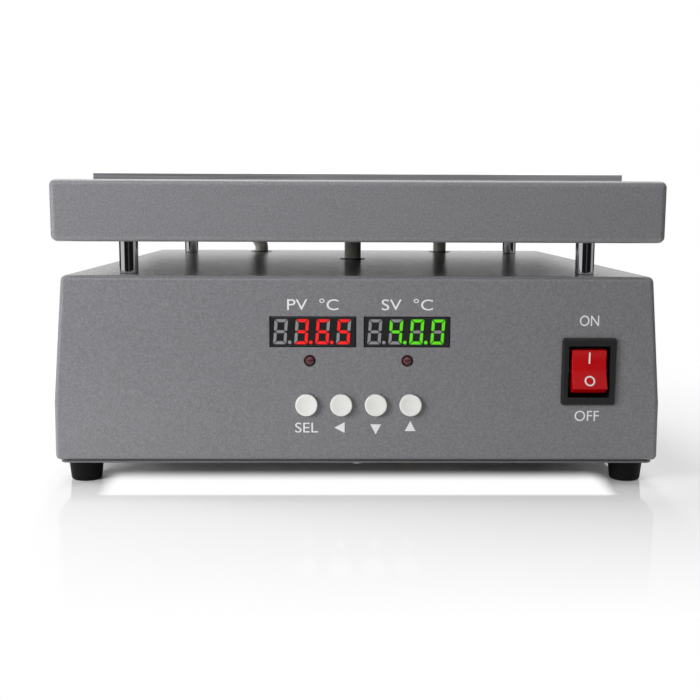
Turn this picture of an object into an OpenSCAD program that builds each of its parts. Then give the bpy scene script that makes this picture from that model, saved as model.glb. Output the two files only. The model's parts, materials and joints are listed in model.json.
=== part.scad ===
// Heating platform for circuit board work: a sheet steel base with the controls
// stands on four feet, and four posts carry a tray with an aluminium hot plate.

/* [Base housing] */
// Width of the base across its top
base_top_w = 277.4; // [266:0.2:284]
// Width of the base at the bend of its sides
base_knee_w = 287; // [278:0.2:294]
// Width of the base at its bottom edge
base_bottom_w = 287.6; // [280:0.2:296]
// Height of the bend of the sides above the bottom edge
base_knee_h = 28; // [20:1:50]
// Depth of the base from front to back
base_d = 281; // [270:1:300]
// Height of the housing without its bottom plate
base_h = 88; // [84:1:110]
// Thickness of the housing's sheet
base_wall = 1.5; // [1:0.1:2]
// Outer radius of the housing's edges
base_edge_r = 2.5; // [2.2:0.1:4]
// Width of the flange turned in along the bottom edge
base_flange_w = 22; // [20:1:28]
// How far the middle of the base lies behind the middle of the tray
base_set_back = 11.5; // [6:0.5:16]

/* [Bottom plate and feet] */
// Thickness of the bottom plate
bottom_t = 1.5; // [1:0.1:2.5]
// How far the bottom plate lies inside the housing's outline
bottom_inset = 1.8; // [1.5:0.1:5]
// Radius of the bottom plate's corners
bottom_corner_r = 4; // [2:0.5:8]
// Diameter of the small screws
screw_d = 3; // [2.5:0.1:3.5]
// Height of a foot
foot_h = 11; // [9:0.5:16]
// Diameter of a foot at its top
foot_top_d = 16.6; // [15:0.2:18]
// Diameter of a foot at its lower end
foot_bottom_d = 14.6; // [13.6:0.2:15.6]
// Diameter of the recess for the screw in a foot
foot_recess_d = 8.6; // [8.4:0.1:9]
// Depth of the recess in a foot
foot_recess_h = 5; // [4:0.5:7]
// Diameter of the foot screws
foot_screw_d = 4; // [3:0.5:5]
// Distance from the foot's centre to the base's side
foot_side_inset = 11.3; // [11:0.1:15]
// Distance from the foot's centre to the base's front or back
foot_end_inset = 15.7; // [13:0.1:17]

/* [Posts] */
// Distance from a post's middle to the tray's side
post_inset = 29.7; // [26:0.1:34]
// Least distance from a post's middle to the base's side
post_base_inset = 12; // [10:0.5:18]
// Outer diameter of a post
post_d = 9; // [7:0.5:12]
// Height of a post, which is the gap between base and tray
post_h = 16; // [12:0.5:30]
// Diameter of the stud inside each post
stud_d = 5; // [4:0.5:5.5]
// Width of the nuts on the studs across their flats
stud_nut_flats = 8; // [8:0.5:10]
// Height of the nuts on the studs
stud_nut_h = 4.7; // [4:0.1:6]

/* [Tray and hot plate] */
// Width and depth of the tray
tray_w = 279.4; // [274:0.2:290]
// Height of the tray
tray_h = 28; // [27:0.5:36]
// Thickness of the tray's sheet
tray_wall = 1.5; // [1:0.1:2]
// Outer radius of the tray's edges
tray_edge_r = 3; // [2.2:0.1:4]
// Distance from the hot plate's side to the tray's side
plate_margin = 16.7; // [15:0.1:24]
// Thickness of the hot plate
plate_t = 18.5; // [16:0.5:19]
// How far the plate stands above the tray
plate_proud = 3.9; // [2:0.1:6]
// Chamfer along the plate's upper edges
plate_chamfer = 0.8; // [0.3:0.1:2]
// Thickness of the insulation board under the plate
insulation_t = 4; // [3:0.5:4]
// Diameter of the tubular heater
heater_d = 7; // [5:0.5:8]
// Distance from the heater's bends to the plate's front and back
heater_end_inset = 12; // [8:0.5:16]
// Diameter of the ceramic spacers under the plate
spacer_d = 10; // [9:0.5:14]

/* [Leads between tray and base] */
// Diameter of the sleeved heater leads
lead_d = 9; // [7:0.5:10]
// Diameter of the sleeved sensor lead
sensor_lead_d = 10; // [8:0.5:11]
// Distance from the heater leads to the tray's back
lead_inset = 10.3; // [10:0.1:10.5]
// Least distance from the heater leads to the base's back
lead_base_inset = 12; // [10:0.5:18]
// Where the left lead leaves the tray, from the middle
left_lead_top_x = -67; // [-70:1:-56]
// Where the left lead enters the base, from the middle
left_lead_base_x = -63; // [-70:1:-50]
// Place of the right lead from the middle
right_lead_x = 63.5; // [56:0.5:70]
// Distance of the sensor lead behind the middle of the tray
sensor_back = 30; // [20:1:50]

/* [Displays and lamps] */
// Width of a display's face
display_w = 40.2; // [38:0.1:42]
// Height of a display's face
display_h = 14; // [12:0.1:16]
// Distance between the middles of the two displays
display_pitch = 44.2; // [43:0.1:50]
// Middle of the pair of displays from the middle of the base
display_x = 0.9; // [-5:0.1:5]
// Distance of the displays' middle below the base's top
display_drop = 26.1; // [22:0.1:28]
// How far a display's face lies behind the panel's face
display_recess = 0.3; // [0.1:0.1:1]
// Diameter of the lamps
lamp_d = 5; // [3:0.5:6]
// Distance between the middles of the two lamps
lamp_pitch = 45.9; // [43:0.1:50]
// Middle of the pair of lamps from the middle of the base
lamp_x = 0.3; // [-5:0.1:5]
// Distance of the lamps below the base's top
lamp_drop = 39.8; // [38:0.1:44]
// How far a lamp's dome stands out of the panel
lamp_proud = 1.3; // [0.5:0.1:2]

/* [Keys] */
// Diameter of a key
key_d = 10.5; // [9:0.1:12]
// Distance from one key to the next
key_pitch = 16.4; // [15.5:0.1:18]
// Distance of the keys below the base's top
key_drop = 60.8; // [58:0.1:63]
// How far a key stands out of the panel
key_proud = 2.2; // [1.5:0.1:4]
// Travel of a key
key_travel = 0.8; // [0.3:0.1:1]
// Width of a key switch on the board
key_switch_w = 6; // [5:0.5:7]
// Height of a key switch on the board
key_switch_h = 3.5; // [3.3:0.1:3.6]
// Diameter of a key's plunger
plunger_d = 3.2; // [2.5:0.1:4]

/* [Control board] */
// Distance between the panel and the control board
board_gap = 5.8; // [5.6:0.1:8]
// Thickness of the circuit boards
board_t = 1.6; // [1:0.1:2]
// Width of the control board
board_w = 112; // [104:1:120]

/* [Power switch] */
// Width of the switch's bezel
bezel_w = 25.6; // [24:0.1:28]
// Height of the switch's bezel
bezel_h = 32; // [30:0.1:34]
// How far the bezel stands out of the panel
bezel_t = 2; // [1.5:0.1:3]
// Wall of the switch body around the rocker
switch_wall = 1.6; // [1.4:0.1:2]
// Depth of the switch body behind the panel
switch_depth = 20; // [18:0.5:26]
// Width of the rocker
rocker_w = 16.4; // [15:0.1:17]
// Height of the rocker's face
rocker_h = 18.2; // [17:0.1:19]
// Gap between the rocker and the frame at each side
rocker_side_gap = 1.6; // [0.3:0.1:1.8]
// Gap between the rocker and the frame at the pressed end
rocker_end_gap = 1.9; // [0.3:0.1:2]
// Angle through which the rocker tips from on to off
rocker_throw = 24; // [18:1:24]
// Diameter of the rocker's pivot pins
rocker_pin_d = 3; // [2:0.1:4]
// Distance from the switch's middle to the side of the base's top
switch_inset = 29.7; // [26:0.1:37]
// Distance of the switch's middle below the base's top
switch_drop = 44.7; // [36:0.1:50]

/* [Mains inlet] */
// Width of the inlet's flange
inlet_flange_w = 50; // [48:1:54]
// Height of the inlet's flange
inlet_flange_h = 36; // [34:1:40]
// Thickness of the inlet's flange
inlet_flange_t = 2.5; // [2:0.1:3.5]
// Width of the socket that the plug goes into
socket_w = 24.6; // [24:0.1:25]
// Height of the socket that the plug goes into
socket_h = 16.8; // [16:0.1:17]
// Depth of the socket
socket_depth = 16; // [14:0.5:18]
// Wall of the inlet's moulding
inlet_wall = 2; // [1.6:0.1:2.2]
// Depth of the inlet behind the back panel
inlet_depth = 24; // [23:0.5:30]
// Distance between the inlet's two screws
inlet_screw_span = 40; // [38:0.5:42]
// Height of the fuse drawer's face
drawer_h = 7; // [6.6:0.1:8]
// Travel of the fuse drawer
drawer_travel = 18; // [12:0.5:20]
// Distance from the inlet's middle to the side of the base's top
inlet_inset = 50.7; // [38:0.1:67]
// Height of the inlet's middle above the housing's bottom edge
inlet_h = 38; // [30:1:50]

/* [Power supply] */
// Width of the power board
power_w = 130; // [120:1:150]
// Depth of the power board
power_d = 92; // [90:1:110]
// Height of the power board above the bottom plate
power_lift = 8; // [5:0.5:14]
// Place of the power board's middle from the middle of the base
power_x = -34; // [-50:1:-20]
// Diameter of the wires inside the base
wire_d = 3; // [2:0.5:4]

/* [Hidden] */
$fn = 48;
corner_fn = 32;
inner_corner_fn = 20;
paint = [0.43, 0.43, 0.44];
steel = [0.75, 0.76, 0.78];
black = [0.08, 0.08, 0.09];
board_green = [0.10, 0.36, 0.20];

// Clearances: face to face seats have none, fixed fits and running fits do.
fit_gap = 0.05;
run_gap = 0.05;
panel_gap = 0.3;
plate_gap = 0.75;

// Directions in which wires leave their ends
forwards = [0, -1, 0];
backwards = [0, 1, 0];
down = [0, 0, -1];
up = [0, 0, 1];

// Heights from the floor up
bottom_z = foot_h;
base_z = bottom_z + bottom_t;
base_top = base_z + base_h;
inside_top = base_top - base_wall;
tray_z = base_top + post_h;
tray_floor = tray_z + tray_wall;
tray_top = tray_z + tray_h;
plate_top = tray_top + plate_proud;
plate_under = plate_top - plate_t;
insulation_top = tray_floor + insulation_t;

// The plate lies in the tray, and the heater's legs are spread evenly over the plate.
plate_w = tray_w - 2 * plate_margin;
heater_pitch = plate_w / 4;

// The origin is midway between the tray's front and the inlet's flange.
tray_y = -(base_set_back + base_d / 2 + inlet_flange_t - tray_w / 2) / 2;
base_y = tray_y + base_set_back;
front_y = base_y - base_d / 2;
back_y = base_y + base_d / 2;
post_x = min(tray_w / 2 - post_inset, base_top_w / 2 - post_base_inset);
post_rows = [max(tray_y - tray_w / 2 + post_inset, front_y + post_base_inset),
             min(tray_y + tray_w / 2 - post_inset, back_y - post_base_inset)];
post_places = [for (sx = [-1, 1], y = post_rows) [sx * post_x, y]];
foot_x = base_bottom_w / 2 - foot_side_inset;
foot_y = base_d / 2 - foot_end_inset;
foot_places = [for (sx = [-1, 1], sy = [-1, 1]) [sx * foot_x, base_y + sy * foot_y]];

// The bottom plate is held by a screw at the middle of each side.
flange_screw_x = base_bottom_w / 2 - base_flange_w / 2;
flange_screw_y = base_d / 2 - base_flange_w / 2;
flange_screws = [[-flange_screw_x, base_y], [flange_screw_x, base_y],
                 [0, base_y - flange_screw_y], [0, base_y + flange_screw_y]];
weld_nut_h = 3;
weld_nut_rim = 2;
weld_nut_top = base_z + base_wall + weld_nut_h;

// Small screws and their heads
head_d = 2 * screw_d;
head_sink = (head_d - screw_d) / 2;
nut_flats = 1.85 * screw_d;
nut_h = 0.8 * screw_d;

// Heights of the rows of controls, and the places of the keys
display_z = base_top - display_drop;
lamp_z = base_top - lamp_drop;
key_z = base_top - key_drop;
switch_z = base_top - switch_drop;
display_places = [display_x - display_pitch / 2, display_x + display_pitch / 2];
lamp_places = [lamp_x - lamp_pitch / 2, lamp_x + lamp_pitch / 2];
display_chamfer = 0.4;
keys = [for (i = [-1.5:1.5]) display_x - 0.5 + i * key_pitch];
key_flange = 1;
key_flange_t = 0.8;
key_flange_gap = 0.2;
key_socket = 1;
plunger_bore = 2.2;
plunger_gap = 0.2;

// The control board reaches from under the keys to over the displays.
board_margin = 9;
board_bottom = key_z - board_margin;
board_top_z = display_z + display_h / 2 + board_margin / 2;
board_h = board_top_z - board_bottom;
board_hole_inset = 4;
board_screws = [for (sx = [-1, 1], z = [board_bottom + board_hole_inset, board_top_z - board_hole_inset])
    [display_x + sx * (board_w / 2 - board_hole_inset), z]];
board_front = base_wall + board_gap;
board_back = board_front + board_t;

// Parts on the back of the control board
chip_w = 12;
chip_t = 2;
chip_x = 20;
sounder_d = 12;
sounder_h = 7;
sounder_x = 38;
header_depth = 9;
header_h = 8;
sensor_header_w = 12;
sensor_plug_z = display_z - 4;
sensor_plug_y = front_y + board_back + header_depth;
supply_header_w = 16;
supply_plug_x = -30;

// Rocker: the pivot lies behind the bezel's face, and the face is a shallow V.
switch_x = base_top_w / 2 - switch_inset;
bezel_chamfer = 0.8;
rocker_valley = 5;
rocker_end = 6.9;
rocker_nose = 1.6;
rocker_skirt = 4;
pivot_depth = rocker_valley - bezel_t;
rocker_reach = norm([rocker_h / 2, rocker_end]);
rocker_end_angle = atan2(rocker_end, rocker_h / 2);
rocker_room_h = 2 * (rocker_reach * cos(rocker_end_angle - rocker_throw / 2) + rocker_end_gap);
rocker_room_w = rocker_w + 2 * rocker_side_gap;
rocker_room_depth = pivot_depth + norm([rocker_h / 2, rocker_skirt]) + 1;
snap_w = 8;
snap_h = 1.2;
snap_root = 0.5;
snap_len = 5;
switch_core_w = rocker_room_w + 2 * switch_wall;
switch_core_h = rocker_room_h + 2 * switch_wall;
blade_w = 6.3;
blade_t = 0.8;
blade_len = 8;
blade_x = 5;
blade_z = 7;

// Inlet: the socket lies above the fuse drawer.
inlet_x = base_top_w / 2 - inlet_inset;
inlet_z = base_z + inlet_h;
inlet_chamfer = 0.6;
drawer_w = socket_w - 1;
drawer_wall = 1.2;
drawer_hold = 3;
drawer_len = drawer_travel + drawer_hold;
drawer_face_t = 2;
drawer_lug = 0.3;
drawer_body_h = drawer_h - 0.6;
inlet_core_w = socket_w + 2 * inlet_wall;
inlet_core_h = socket_h + drawer_h + 3 * inlet_wall;
socket_z = inlet_core_h / 2 - inlet_wall - socket_h / 2;
drawer_z = -inlet_core_h / 2 + inlet_wall + drawer_h / 2;
fuse_d = 5;
fuse_len = 20;
fuse_bay = fuse_d + 2;
pin_w = 2;
pin_h = 4;
pin_step = 7;
pin_rise = 2;
pin_recess = 3;
vent_len = 60;
vent_w = 3.5;
back_vent_x = -50;
back_vent_step = 9;
back_vent_count = 6;
bottom_vent_len = 44;
bottom_vent_step = 8;
bottom_vent_count = 8;
bottom_vent_side = 57.5;
bottom_vent_front = 52.5;

// Heater: four legs, joined by two bends at the front and one at the back
bend_r = heater_pitch / 2;
heater_front = tray_y - plate_w / 2 + bend_r + heater_end_inset;
heater_back = tray_y + plate_w / 2 - bend_r - heater_end_inset;
heater_end = tray_y + plate_w / 2 + 1;
heater_legs = [for (i = [-1.5:1.5]) i * heater_pitch];
lead_y = tray_y + tray_w / 2 - lead_inset;
lead_base_y = min(lead_y, back_y - lead_base_inset);
terminal_pin_d = 2.5;
lug_d = 4;
probe_y = tray_y + sensor_back;
probe_d = 6;
probe_depth = 8;
probe_hex_h = 5;
probe_flats = 10;

// Clamp bars and their screws, which bite into the plate between the heater's legs
clamp_t = 1.5;
clamp_w = 14;
clamp_rows = [heater_front + 20, (heater_front + heater_back) / 2, heater_back - 14];
clamp_under = plate_under - heater_d / 2 - clamp_t;
screw_bite = 9;
function near_probe(x, y) = norm([x, y - probe_y]) < probe_d + clamp_w / 2;
clamp_screw_places = [for (y = clamp_rows, x = [-heater_pitch, 0, heater_pitch])
    if (!near_probe(x, y)) [x, y]];
stud_grip = 10;
nut_flange_t = 1.2;
nut_flange_d = 1.45 * stud_nut_flats;
stud_end = 3;

// Power board and the ceramic blocks of the heater leads
power_y = base_y + 6;
power_z = base_z + power_lift;
power_top = power_z + board_t;
power_screws = [for (sx = [-1, 1], sy = [-1, 1])
    [power_x + sx * (power_w / 2 - 5), power_y + sy * (power_d / 2 - 5)]];
block_w = 26;
block_d = 18;
block_h = 18;
block_y = base_y + base_d / 2 - base_flange_w - block_d / 2 - 4;
block_places = [[left_lead_base_x, block_y], [right_lead_x, block_y]];
block_top = base_z + block_h;
block_bore = 5;
block_bore_x = 8;
block_bore_z = 6;
block_screw_roof = 4;
grommet_wall = 1.5;
grommet_lip = 1.2;
grommet_lip_t = 1.2;
grommet_flat_t = 0.5;
insulation_gap = 2;
insulation_w = 2 * (tray_w / 2 - lead_inset - lead_d / 2 - grommet_wall - grommet_lip - insulation_gap);
sleeve_in = 12;
lead_straight = 2;
lead_pitch = 5;
sensor_sleeve_end = inside_top - sleeve_in;
earth_place = [30, base_y - 60];
earth_d = 4;
earth_nut_h = 3.2;
earth_nut_flats = 7;
earth_stud_h = 14;

// Places of the leads on the base and on the tray's floor, each with its diameter
lead_holes = [[left_lead_base_x, lead_base_y, lead_d], [right_lead_x, lead_base_y, lead_d],
              [0, probe_y, sensor_lead_d]];
tray_holes = [[left_lead_top_x, lead_y, lead_d], [right_lead_x, lead_y, lead_d], [0, probe_y, sensor_lead_d]];

// Transformer, heat sink and the other power parts
core_w = 42;
core_t = 14;
core_h = 35;
coil_w = 26;
coil_d = 32;
coil_h = 23;
core_foot_w = 30;
core_foot_t = 4;
core_foot_h = 6;
transformer_place = [power_x - power_w / 2 + 34, power_y - 14];
sink_w = 40;
sink_base_t = 4;
sink_fin_h = 15;
sink_fin_t = 2;
sink_fins = 9;
sink_fin_step = (sink_w - sink_fin_t) / (sink_fins - 1);
sink_h = 38;
sink_place = [power_x + power_w / 2 - 26, power_y - power_d / 2 + 22];
triac_w = 10;
triac_t = 4.5;
triac_h = 16;
triac_z = 4;
relay_w = 19;
relay_d = 15;
relay_h = 16;
filter_w = 26;
filter_d = 10;
filter_h = 18;
can_d = 13;
can_h = 22;
strip_ways = 6;
strip_pitch = 5;
strip_d = 10;
strip_h = 12;
strip_screw_d = 3.4;
strip_screw_depth = 4;
strip_place = [power_x + 10, power_y + power_d / 2 - 16];
strip_top = power_top + strip_h;
strip_screw_y = strip_place[1] + 1;
strip_wire_z = strip_top - strip_screw_depth / 2;
wire_pitch = 9;

// Forms that several pieces share

// Ball whose poles and equator lie exactly at its radius
module ball(r, fn) {
    rotate_extrude($fn = fn)
        intersection() {
            circle(r, $fn = fn);
            translate([0, -r]) square([r, 2 * r]);
        }
}

// Box with round edges: each level is a width, a depth and the height of the ball's centre.
module soft_box(levels, edge_r, ball_r, fn) {
    hull()
        for (level = levels, sx = [-1, 1], sy = [-1, 1])
            translate([sx * (level[0] / 2 - edge_r), sy * (level[1] / 2 - edge_r), level[2]])
                ball(ball_r, fn);
}

module rounded_rect(w, h, r) {
    for (turn = [0, 1])
        square([w - 2 * r * turn, h - 2 * r * (1 - turn)], center = true);
    for (sx = [-1, 1], sy = [-1, 1])
        translate([sx * (w / 2 - r), sy * (h / 2 - r)]) circle(r);
}

// Slab on the XY plane with a chamfer along its four upper edges
module chamfered_slab(w, d, t, cut) {
    intersection() {
        rotate([90, 0, 0]) linear_extrude(d, center = true) chamfered_profile(w, t, cut);
        rotate([90, 0, 90]) linear_extrude(w, center = true) chamfered_profile(d, t, cut);
    }
}

module chamfered_profile(w, t, cut) {
    half = w / 2;
    polygon([[-half, 0], [half, 0], [half, t - cut], [half - cut, t], [cut - half, t], [-half, t - cut]]);
}

module rod(d, from, to) {
    translate([0, 0, from]) cylinder(h = to - from, d = d);
}

module hex(flats, from, to) {
    translate([0, 0, from]) cylinder(h = to - from, d = flats / cos(30), $fn = 6);
}

module pipe(outer, inner, from, to) {
    difference() {
        rod(outer, from, to);
        rod(inner, from - 1, to + 1);
    }
}

// Slot with round ends, lying along X
module slot(length, width, h) {
    linear_extrude(h, center = true) {
        square([length - width, width], center = true);
        for (s = [-1, 1]) translate([s * (length - width) / 2, 0]) circle(d = width);
    }
}

// Pan head screw: the head lies below the seat and the shank points up.
module screw_up(d, seat, to) {
    rod(2 * d, seat - 0.65 * d, seat);
    rod(d, seat - 0.1, to);
}

module at_each(places) {
    for (p = places) translate([p[0], p[1], 0]) children();
}

// Holes of the leads and their grommets, through a sheet
module lead_cutouts(holes, from, to) {
    for (p = holes) translate([p[0], p[1], 0]) rod(p[2] + 2 * grommet_wall, from, to);
}

// Local frame of the front panel: X to the right, Y up, Z out of the panel
module on_front(x, z) {
    translate([x, front_y, z]) rotate([90, 0, 0]) children();
}

// Local frame of the back panel: Y up, Z out of the panel
module on_back(x, z) {
    translate([x, back_y, z]) rotate([90, 0, 180]) children();
}

// Direction of a route's curve at point i, where the shorter of the two runs beside it counts more
function heading(p, i) =
    let (n = len(p) - 1, a = p[max(i, 1)] - p[max(i, 1) - 1], b = p[min(i, n - 1) + 1] - p[min(i, n - 1)],
         la = norm(a), lb = norm(b))
    (a / la * lb + b / lb * la) / (la + lb);

// Point at the share f of the run after point i, on the smooth curve through a route's points
function along(p, i, f) =
    let (run = norm(p[i + 1] - p[i]), leave = run * heading(p, i), arrive = run * heading(p, i + 1))
    (2 * f * f * f - 3 * f * f + 1) * p[i] + (f * f * f - 2 * f * f + f) * leave
    + (3 * f * f - 2 * f * f * f) * p[i + 1] + (f * f * f - f * f) * arrive;

// Flexible lead of one diameter along a route, with a ring at least every pitch; across is never along it.
module flexible(route, d, across, pitch, sides) {
    runs = len(route) - 1;
    centres = [for (i = [0:runs - 1])
                   let (steps = max(1, ceil(norm(route[i + 1] - route[i]) / pitch)))
                   for (k = [0:steps - 1]) along(route, i, k / steps),
               route[runs]];
    n = len(centres) - 1;
    rings = [for (i = [0:n])
        let (dir = centres[min(i + 1, n)] - centres[max(i - 1, 0)],
             u = cross(dir, across), side = u / norm(u), v = cross(side, dir), up = v / norm(v))
        for (k = [0:sides - 1])
            centres[i] + d / 2 * (cos(360 * k / sides) * side + sin(360 * k / sides) * up)];
    walls = [for (i = [0:n - 1], k = [0:sides - 1])
        let (a = i * sides + k, b = i * sides + (k + 1) % sides)
        for (face = [[a, b, b + sides], [a, b + sides, a + sides]]) face];
    caps = [[for (k = [sides - 1:-1:0]) k], [for (k = [0:sides - 1]) n * sides + k]];
    polyhedron(rings, concat(walls, caps));
}

// Base housing, a folded and welded shell that is open below inside its flange

module base_form(inset, fn) {
    soft_box([[base_bottom_w, base_d, base_z + base_edge_r],
              [base_knee_w, base_d, base_z + base_knee_h],
              [base_top_w, base_d, base_top - base_edge_r]],
             base_edge_r, base_edge_r - inset, fn);
}

module base_shell() {
    difference() {
        translate([0, base_y, 0]) base_form(0, corner_fn);
        translate([0, base_y, 0]) base_form(base_wall, inner_corner_fn);
        translate([0, base_y, base_z])
            linear_extrude(4 * base_wall, center = true)
                rounded_rect(base_bottom_w - 2 * base_flange_w, base_d - 2 * base_flange_w, 3);
    }
}

module front_cutouts() {
    deep = 4 * base_wall;
    for (x = display_places)
        on_front(x, display_z)
            cube([display_w + 2 * panel_gap, display_h + 2 * panel_gap, deep], center = true);
    for (x = lamp_places)
        on_front(x, lamp_z) cylinder(h = deep, d = lamp_d + 2 * panel_gap, center = true);
    for (x = keys)
        on_front(x, key_z) cylinder(h = deep, d = key_d + panel_gap, center = true);
    on_front(switch_x, switch_z)
        cube([switch_core_w + panel_gap, switch_core_h + panel_gap, deep], center = true);
}

// Opening of the inlet, and rows of slots beside it in the back panel
module back_cutouts() {
    deep = 4 * base_wall;
    on_back(inlet_x, inlet_z) {
        cube([inlet_core_w + panel_gap, inlet_core_h + panel_gap, deep], center = true);
        for (s = [-1, 1])
            translate([s * inlet_screw_span / 2, 0, 0])
                cylinder(h = deep, d = screw_d + panel_gap, center = true);
    }
    for (row = [0:back_vent_count - 1])
        on_back(back_vent_x, inlet_z - 15 + row * back_vent_step) slot(vent_len, vent_w, deep);
}

module base_housing() {
    color(paint) {
        difference() {
            union() {
                base_shell();
                weld_nuts();
            }
            front_cutouts();
            back_cutouts();
            at_each(post_places) rod(stud_d + panel_gap, inside_top - 1, base_top + 1);
            lead_cutouts(lead_holes, inside_top - 1, base_top + 1);
            at_each(flange_screws) rod(screw_d + 2 * fit_gap, base_z - 1, weld_nut_top + 1);
            at_each(foot_places) rod(foot_screw_d + 2 * fit_gap, base_z - 1, weld_nut_top + 1);
        }
        for (p = board_screws) on_front(p[0], p[1]) rod(screw_d, -board_back - nut_h - 2, -base_wall);
    }
}

// Weld nuts on the flange take the screws of the bottom plate and the feet.
module weld_nuts() {
    from = base_z + base_wall / 2;
    at_each(flange_screws) rod(screw_d + 2 * weld_nut_rim, from, weld_nut_top);
    at_each(foot_places) rod(foot_screw_d + 2 * weld_nut_rim, from, weld_nut_top);
}

// Bottom plate with its vents, and the feet

// Rows of slots below the control board, on one side
module vent_field(side) {
    middle = (bottom_vent_count - 1) / 2;
    for (i = [-middle:middle])
        translate([side * (base_top_w / 2 - bottom_vent_side),
                   front_y + bottom_vent_front + i * bottom_vent_step,
                   bottom_z + bottom_t / 2])
            slot(bottom_vent_len, vent_w, 4 * bottom_t);
}

module bottom_plate() {
    color(paint)
        difference() {
            translate([0, base_y, bottom_z])
                linear_extrude(bottom_t)
                    rounded_rect(base_bottom_w - 2 * bottom_inset, base_d - 2 * bottom_inset,
                                 bottom_corner_r);
            for (side = [-1, 1]) vent_field(side);
            at_each(flange_screws) rod(screw_d + panel_gap, bottom_z - 1, base_z + 1);
            at_each(foot_places) rod(foot_screw_d + panel_gap, bottom_z - 1, base_z + 1);
            at_each(power_screws) rod(screw_d + panel_gap, bottom_z - 1, base_z + 1);
            at_each(block_places) rod(screw_d + panel_gap, bottom_z - 1, base_z + 1);
            at_each([earth_place]) rod(earth_d + panel_gap, bottom_z - 1, base_z + 1);
        }
}

// Screws from below: those of the plate reach their weld nuts, the others what stands on the plate.
module bottom_screws() {
    color(steel) {
        at_each(flange_screws) screw_up(screw_d, bottom_z, weld_nut_top);
        at_each(power_screws) screw_up(screw_d, bottom_z, power_top + nut_h + 1);
        at_each(power_screws) translate([0, 0, power_top]) pipe_nut();
        at_each(block_places) screw_up(screw_d, bottom_z, block_top - block_screw_roof);
    }
}

module pipe_nut() {
    difference() {
        hex(nut_flats, 0, nut_h);
        rod(screw_d + 2 * fit_gap, -1, nut_h + 1);
    }
}

module foot(place) {
    rim = 1;
    corner = 2.2;
    color(black)
        translate([place[0], place[1], 0])
            rotate_extrude()
                polygon([[foot_screw_d / 2 + fit_gap, foot_h], [foot_top_d / 2, foot_h],
                         [foot_top_d / 2, foot_h - rim],
                         for (a = [0:22.5:90])
                             [foot_bottom_d / 2 - corner * (1 - cos(a)), corner * (1 - sin(a))],
                         [foot_recess_d / 2, 0],
                         [foot_recess_d / 2, foot_recess_h], [foot_screw_d / 2 + fit_gap, foot_recess_h]]);
}

module foot_screws() {
    color(steel)
        at_each(foot_places) screw_up(foot_screw_d, foot_recess_h, weld_nut_top + 1);
}

// Posts between base and tray, with the studs that hold the plate down

module post(place) {
    edge = 0.4;
    color([0.85, 0.86, 0.88])
        translate([place[0], place[1], 0])
            rotate_extrude()
                polygon([[stud_d / 2 + fit_gap, base_top], [post_d / 2 - edge, base_top],
                         [post_d / 2, base_top + edge], [post_d / 2, tray_z - edge],
                         [post_d / 2 - edge, tray_z], [stud_d / 2 + fit_gap, tray_z]]);
}

module post_studs() {
    color(steel)
        at_each(post_places) rod(stud_d, inside_top - stud_nut_h - stud_end, plate_under + stud_grip);
}

// Flange nuts under the base's top
module post_nuts() {
    color(steel)
        at_each(post_places)
            difference() {
                union() {
                    hex(stud_nut_flats, inside_top - stud_nut_h, inside_top - nut_flange_t / 2);
                    rod(nut_flange_d, inside_top - nut_flange_t, inside_top);
                }
                rod(stud_d + 2 * fit_gap, inside_top - stud_nut_h - 1, inside_top + 1);
            }
}

module plate_spacers() {
    color([0.93, 0.91, 0.86])
        at_each(post_places) pipe(spacer_d, stud_d + 2 * fit_gap, tray_floor, plate_under);
}

// Tray, insulation and hot plate

module tray() {
    levels = [[tray_w, tray_w, tray_z + tray_edge_r], [tray_w, tray_w, tray_top - tray_edge_r]];
    color(paint)
        difference() {
            translate([0, tray_y, 0]) soft_box(levels, tray_edge_r, tray_edge_r, corner_fn);
            translate([0, tray_y, 0]) soft_box(levels, tray_edge_r, tray_edge_r - tray_wall, inner_corner_fn);
            translate([0, tray_y, tray_top])
                linear_extrude(4 * tray_wall, center = true)
                    rounded_rect(plate_w + 2 * plate_gap, plate_w + 2 * plate_gap, 1);
            at_each(post_places) rod(stud_d + panel_gap, tray_z - 1, tray_floor + 1);
            lead_cutouts(tray_holes, tray_z - 1, tray_floor + 1);
        }
}

module insulation_board() {
    color([0.90, 0.87, 0.78])
        difference() {
            translate([0, tray_y, tray_floor])
                linear_extrude(insulation_t) rounded_rect(insulation_w, insulation_w, 3);
            at_each(post_places) rod(spacer_d + 2 * panel_gap, tray_floor - 1, insulation_top + 1);
            translate([0, probe_y, 0])
                rod(sensor_lead_d + 2 * (grommet_wall + grommet_lip + panel_gap),
                    tray_floor - 1, insulation_top + 1);
        }
}

// Path of the heater, as a tube of the given diameter
module heater_path(d) {
    for (i = [0:3]) {
        outer = i == 0 || i == 3;
        translate([heater_legs[i], 0, plate_under]) rotate([-90, 0, 0])
            rod(d, heater_front, outer ? heater_end : heater_back);
    }
    for (side = [-1, 1]) translate([side * heater_pitch, heater_front, plate_under]) half_bend(d, 180);
    translate([0, heater_back, plate_under]) half_bend(d, 0);
}

module half_bend(d, turn) {
    rotate([0, 0, turn]) rotate_extrude(angle = 180) translate([bend_r, 0]) circle(d = d);
}

module heating_plate() {
    color([0.80, 0.81, 0.82])
        difference() {
            translate([0, tray_y, plate_under]) chamfered_slab(plate_w, plate_w, plate_t, plate_chamfer);
            heater_path(heater_d + 2 * fit_gap);
            at_each(post_places) rod(stud_d + 2 * fit_gap, plate_under - 1, plate_under + stud_grip + 1);
            translate([0, probe_y, 0])
                rod(probe_d + 2 * fit_gap, plate_under - 1, plate_under + probe_depth + 0.5);
            at_each(clamp_screw_places)
                rod(screw_d + 2 * fit_gap, plate_under - 1, plate_under + screw_bite + 0.5);
        }
}

module heater_element() {
    color([0.45, 0.42, 0.40]) {
        heater_path(heater_d);
        for (x = [heater_legs[0], heater_legs[3]])
            translate([x, 0, plate_under]) rotate([-90, 0, 0])
                rod(terminal_pin_d, heater_end - 1, lead_y - lug_d / 2);
    }
}

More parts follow.
